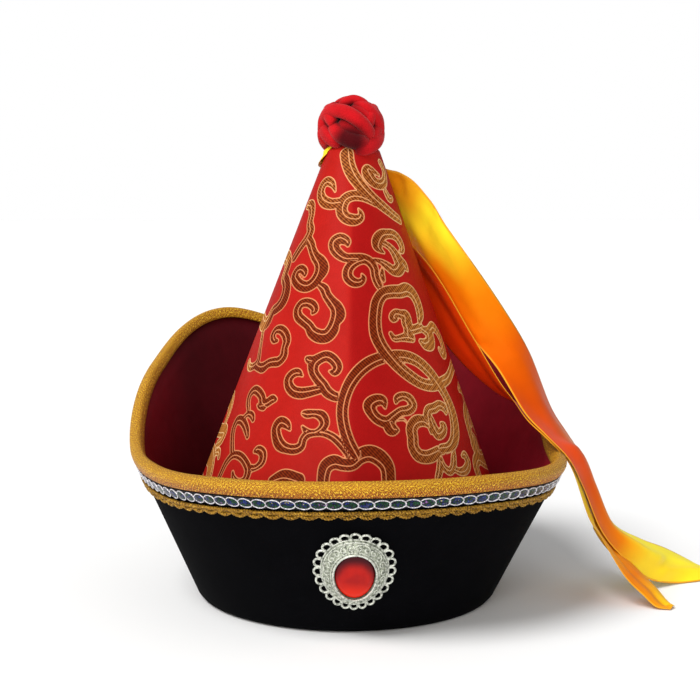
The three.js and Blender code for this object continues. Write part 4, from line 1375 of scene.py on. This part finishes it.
class HAT_OT_stage(bpy.types.Operator):
    """Makes the floor, the lights and the photograph's camera"""
    bl_idname = "hat.stage"
    bl_label = "Stage"

    def execute(self, context):
        settings = context.scene.hat_stage
        stage_floor(settings)
        stage_lights(settings)
        photograph_camera()
        return {"FINISHED"}


class HAT_OT_crown(bpy.types.Operator):
    """Makes the brocade crown and its inner face"""
    bl_idname = "hat.crown"
    bl_label = "Crown"

    def execute(self, context):
        crown_outside(context.scene.hat_brocade)
        crown_inner_face()
        return {"FINISHED"}


class HAT_OT_brim(bpy.types.Operator):
    """Makes the velvet brim, its lining and its gold binding"""
    bl_idname = "hat.brim"
    bl_label = "Brim"

    def execute(self, context):
        settings = context.scene.hat_brim
        brim_outside(settings)
        brim_inside(settings)
        rim_binding(settings)
        return {"FINISHED"}


class HAT_OT_trims(bpy.types.Operator):
    """Makes the sequin chain on its tape and the scalloped braid"""
    bl_idname = "hat.trims"
    bl_label = "Trims"

    def execute(self, context):
        sequin_tape()
        sequin_chain(context.scene.hat_trims)
        scalloped_braid(context.scene.hat_trims)
        return {"FINISHED"}


class HAT_OT_medallion(bpy.types.Operator):
    """Makes the pierced medallion and its stone"""
    bl_idname = "hat.medallion"
    bl_label = "Medallion"

    def execute(self, context):
        medallion()
        red_stone(context.scene.hat_trims)
        return {"FINISHED"}


class HAT_OT_knot(bpy.types.Operator):
    """Makes the knot of red cord on the tip"""
    bl_idname = "hat.knot"
    bl_label = "Knot"

    def execute(self, context):
        cord_knot()
        return {"FINISHED"}


class HAT_OT_ribbons(bpy.types.Operator):
    """Makes the three pieces of satin ribbon"""
    bl_idname = "hat.ribbons"
    bl_label = "Ribbons"

    def execute(self, context):
        wrinkles = context.scene.hat_ribbons.wrinkles
        ribbon("outer_satin_ribbon", satin_finish("Outer Satin", OUTER_LENGTH), "ribbon_outer", OUTER_RIBBON,
               OUTER_CREASES, OUTER_PAINTED_LIGHT, OUTER_LENGTH, 340, wrinkles)
        ribbon("inner_satin_ribbon", satin_finish("Inner Satin", INNER_LENGTH), "ribbon_inner", INNER_RIBBON,
               INNER_CREASES, INNER_PAINTED_LIGHT, INNER_LENGTH, 320, wrinkles)
        satin_loop(satin_finish("Loop Satin", LOOP["length"]))
        return {"FINISHED"}


class HAT_PT_panel(bpy.types.Panel):
    """Lists the hat's pieces and their settings"""
    bl_idname = "HAT_PT_panel"
    bl_label = "Mongolian Hat"
    bl_space_type = "VIEW_3D"
    bl_region_type = "UI"
    bl_category = "Hat"

    def draw(self, context):
        for operator in OPERATORS:
            self.layout.operator(operator.bl_idname)
        for name in SETTINGS:
            settings = getattr(context.scene, name)
            box = self.layout.box()
            for field in settings.bl_rna.properties:
                if field.identifier not in ("rna_type", "name"):
                    box.prop(settings, field.identifier)


SETTINGS = {
    "hat_brocade": BrocadeSettings, "hat_brim": BrimSettings, "hat_trims": TrimSettings,
    "hat_ribbons": RibbonSettings, "hat_stage": StageSettings,
}
OPERATORS = (
    HAT_OT_stage, HAT_OT_crown, HAT_OT_brim, HAT_OT_trims, HAT_OT_medallion, HAT_OT_knot, HAT_OT_ribbons,
)
CLASSES = (*SETTINGS.values(), *OPERATORS, HAT_PT_panel)


def register():
    for kind in CLASSES:
        bpy.utils.register_class(kind)
    for name, kind in SETTINGS.items():
        setattr(bpy.types.Scene, name, PointerProperty(type=kind))


def unregister():
    for name in SETTINGS:
        delattr(bpy.types.Scene, name)
    for kind in reversed(CLASSES):
        bpy.utils.unregister_class(kind)


def main():
    register()
    bpy.ops.hat.stage()
    bpy.ops.hat.crown()
    bpy.ops.hat.brim()
    bpy.ops.hat.trims()
    bpy.ops.hat.medallion()
    bpy.ops.hat.knot()
    bpy.ops.hat.ribbons()


if __name__ == "__main__":
    main()
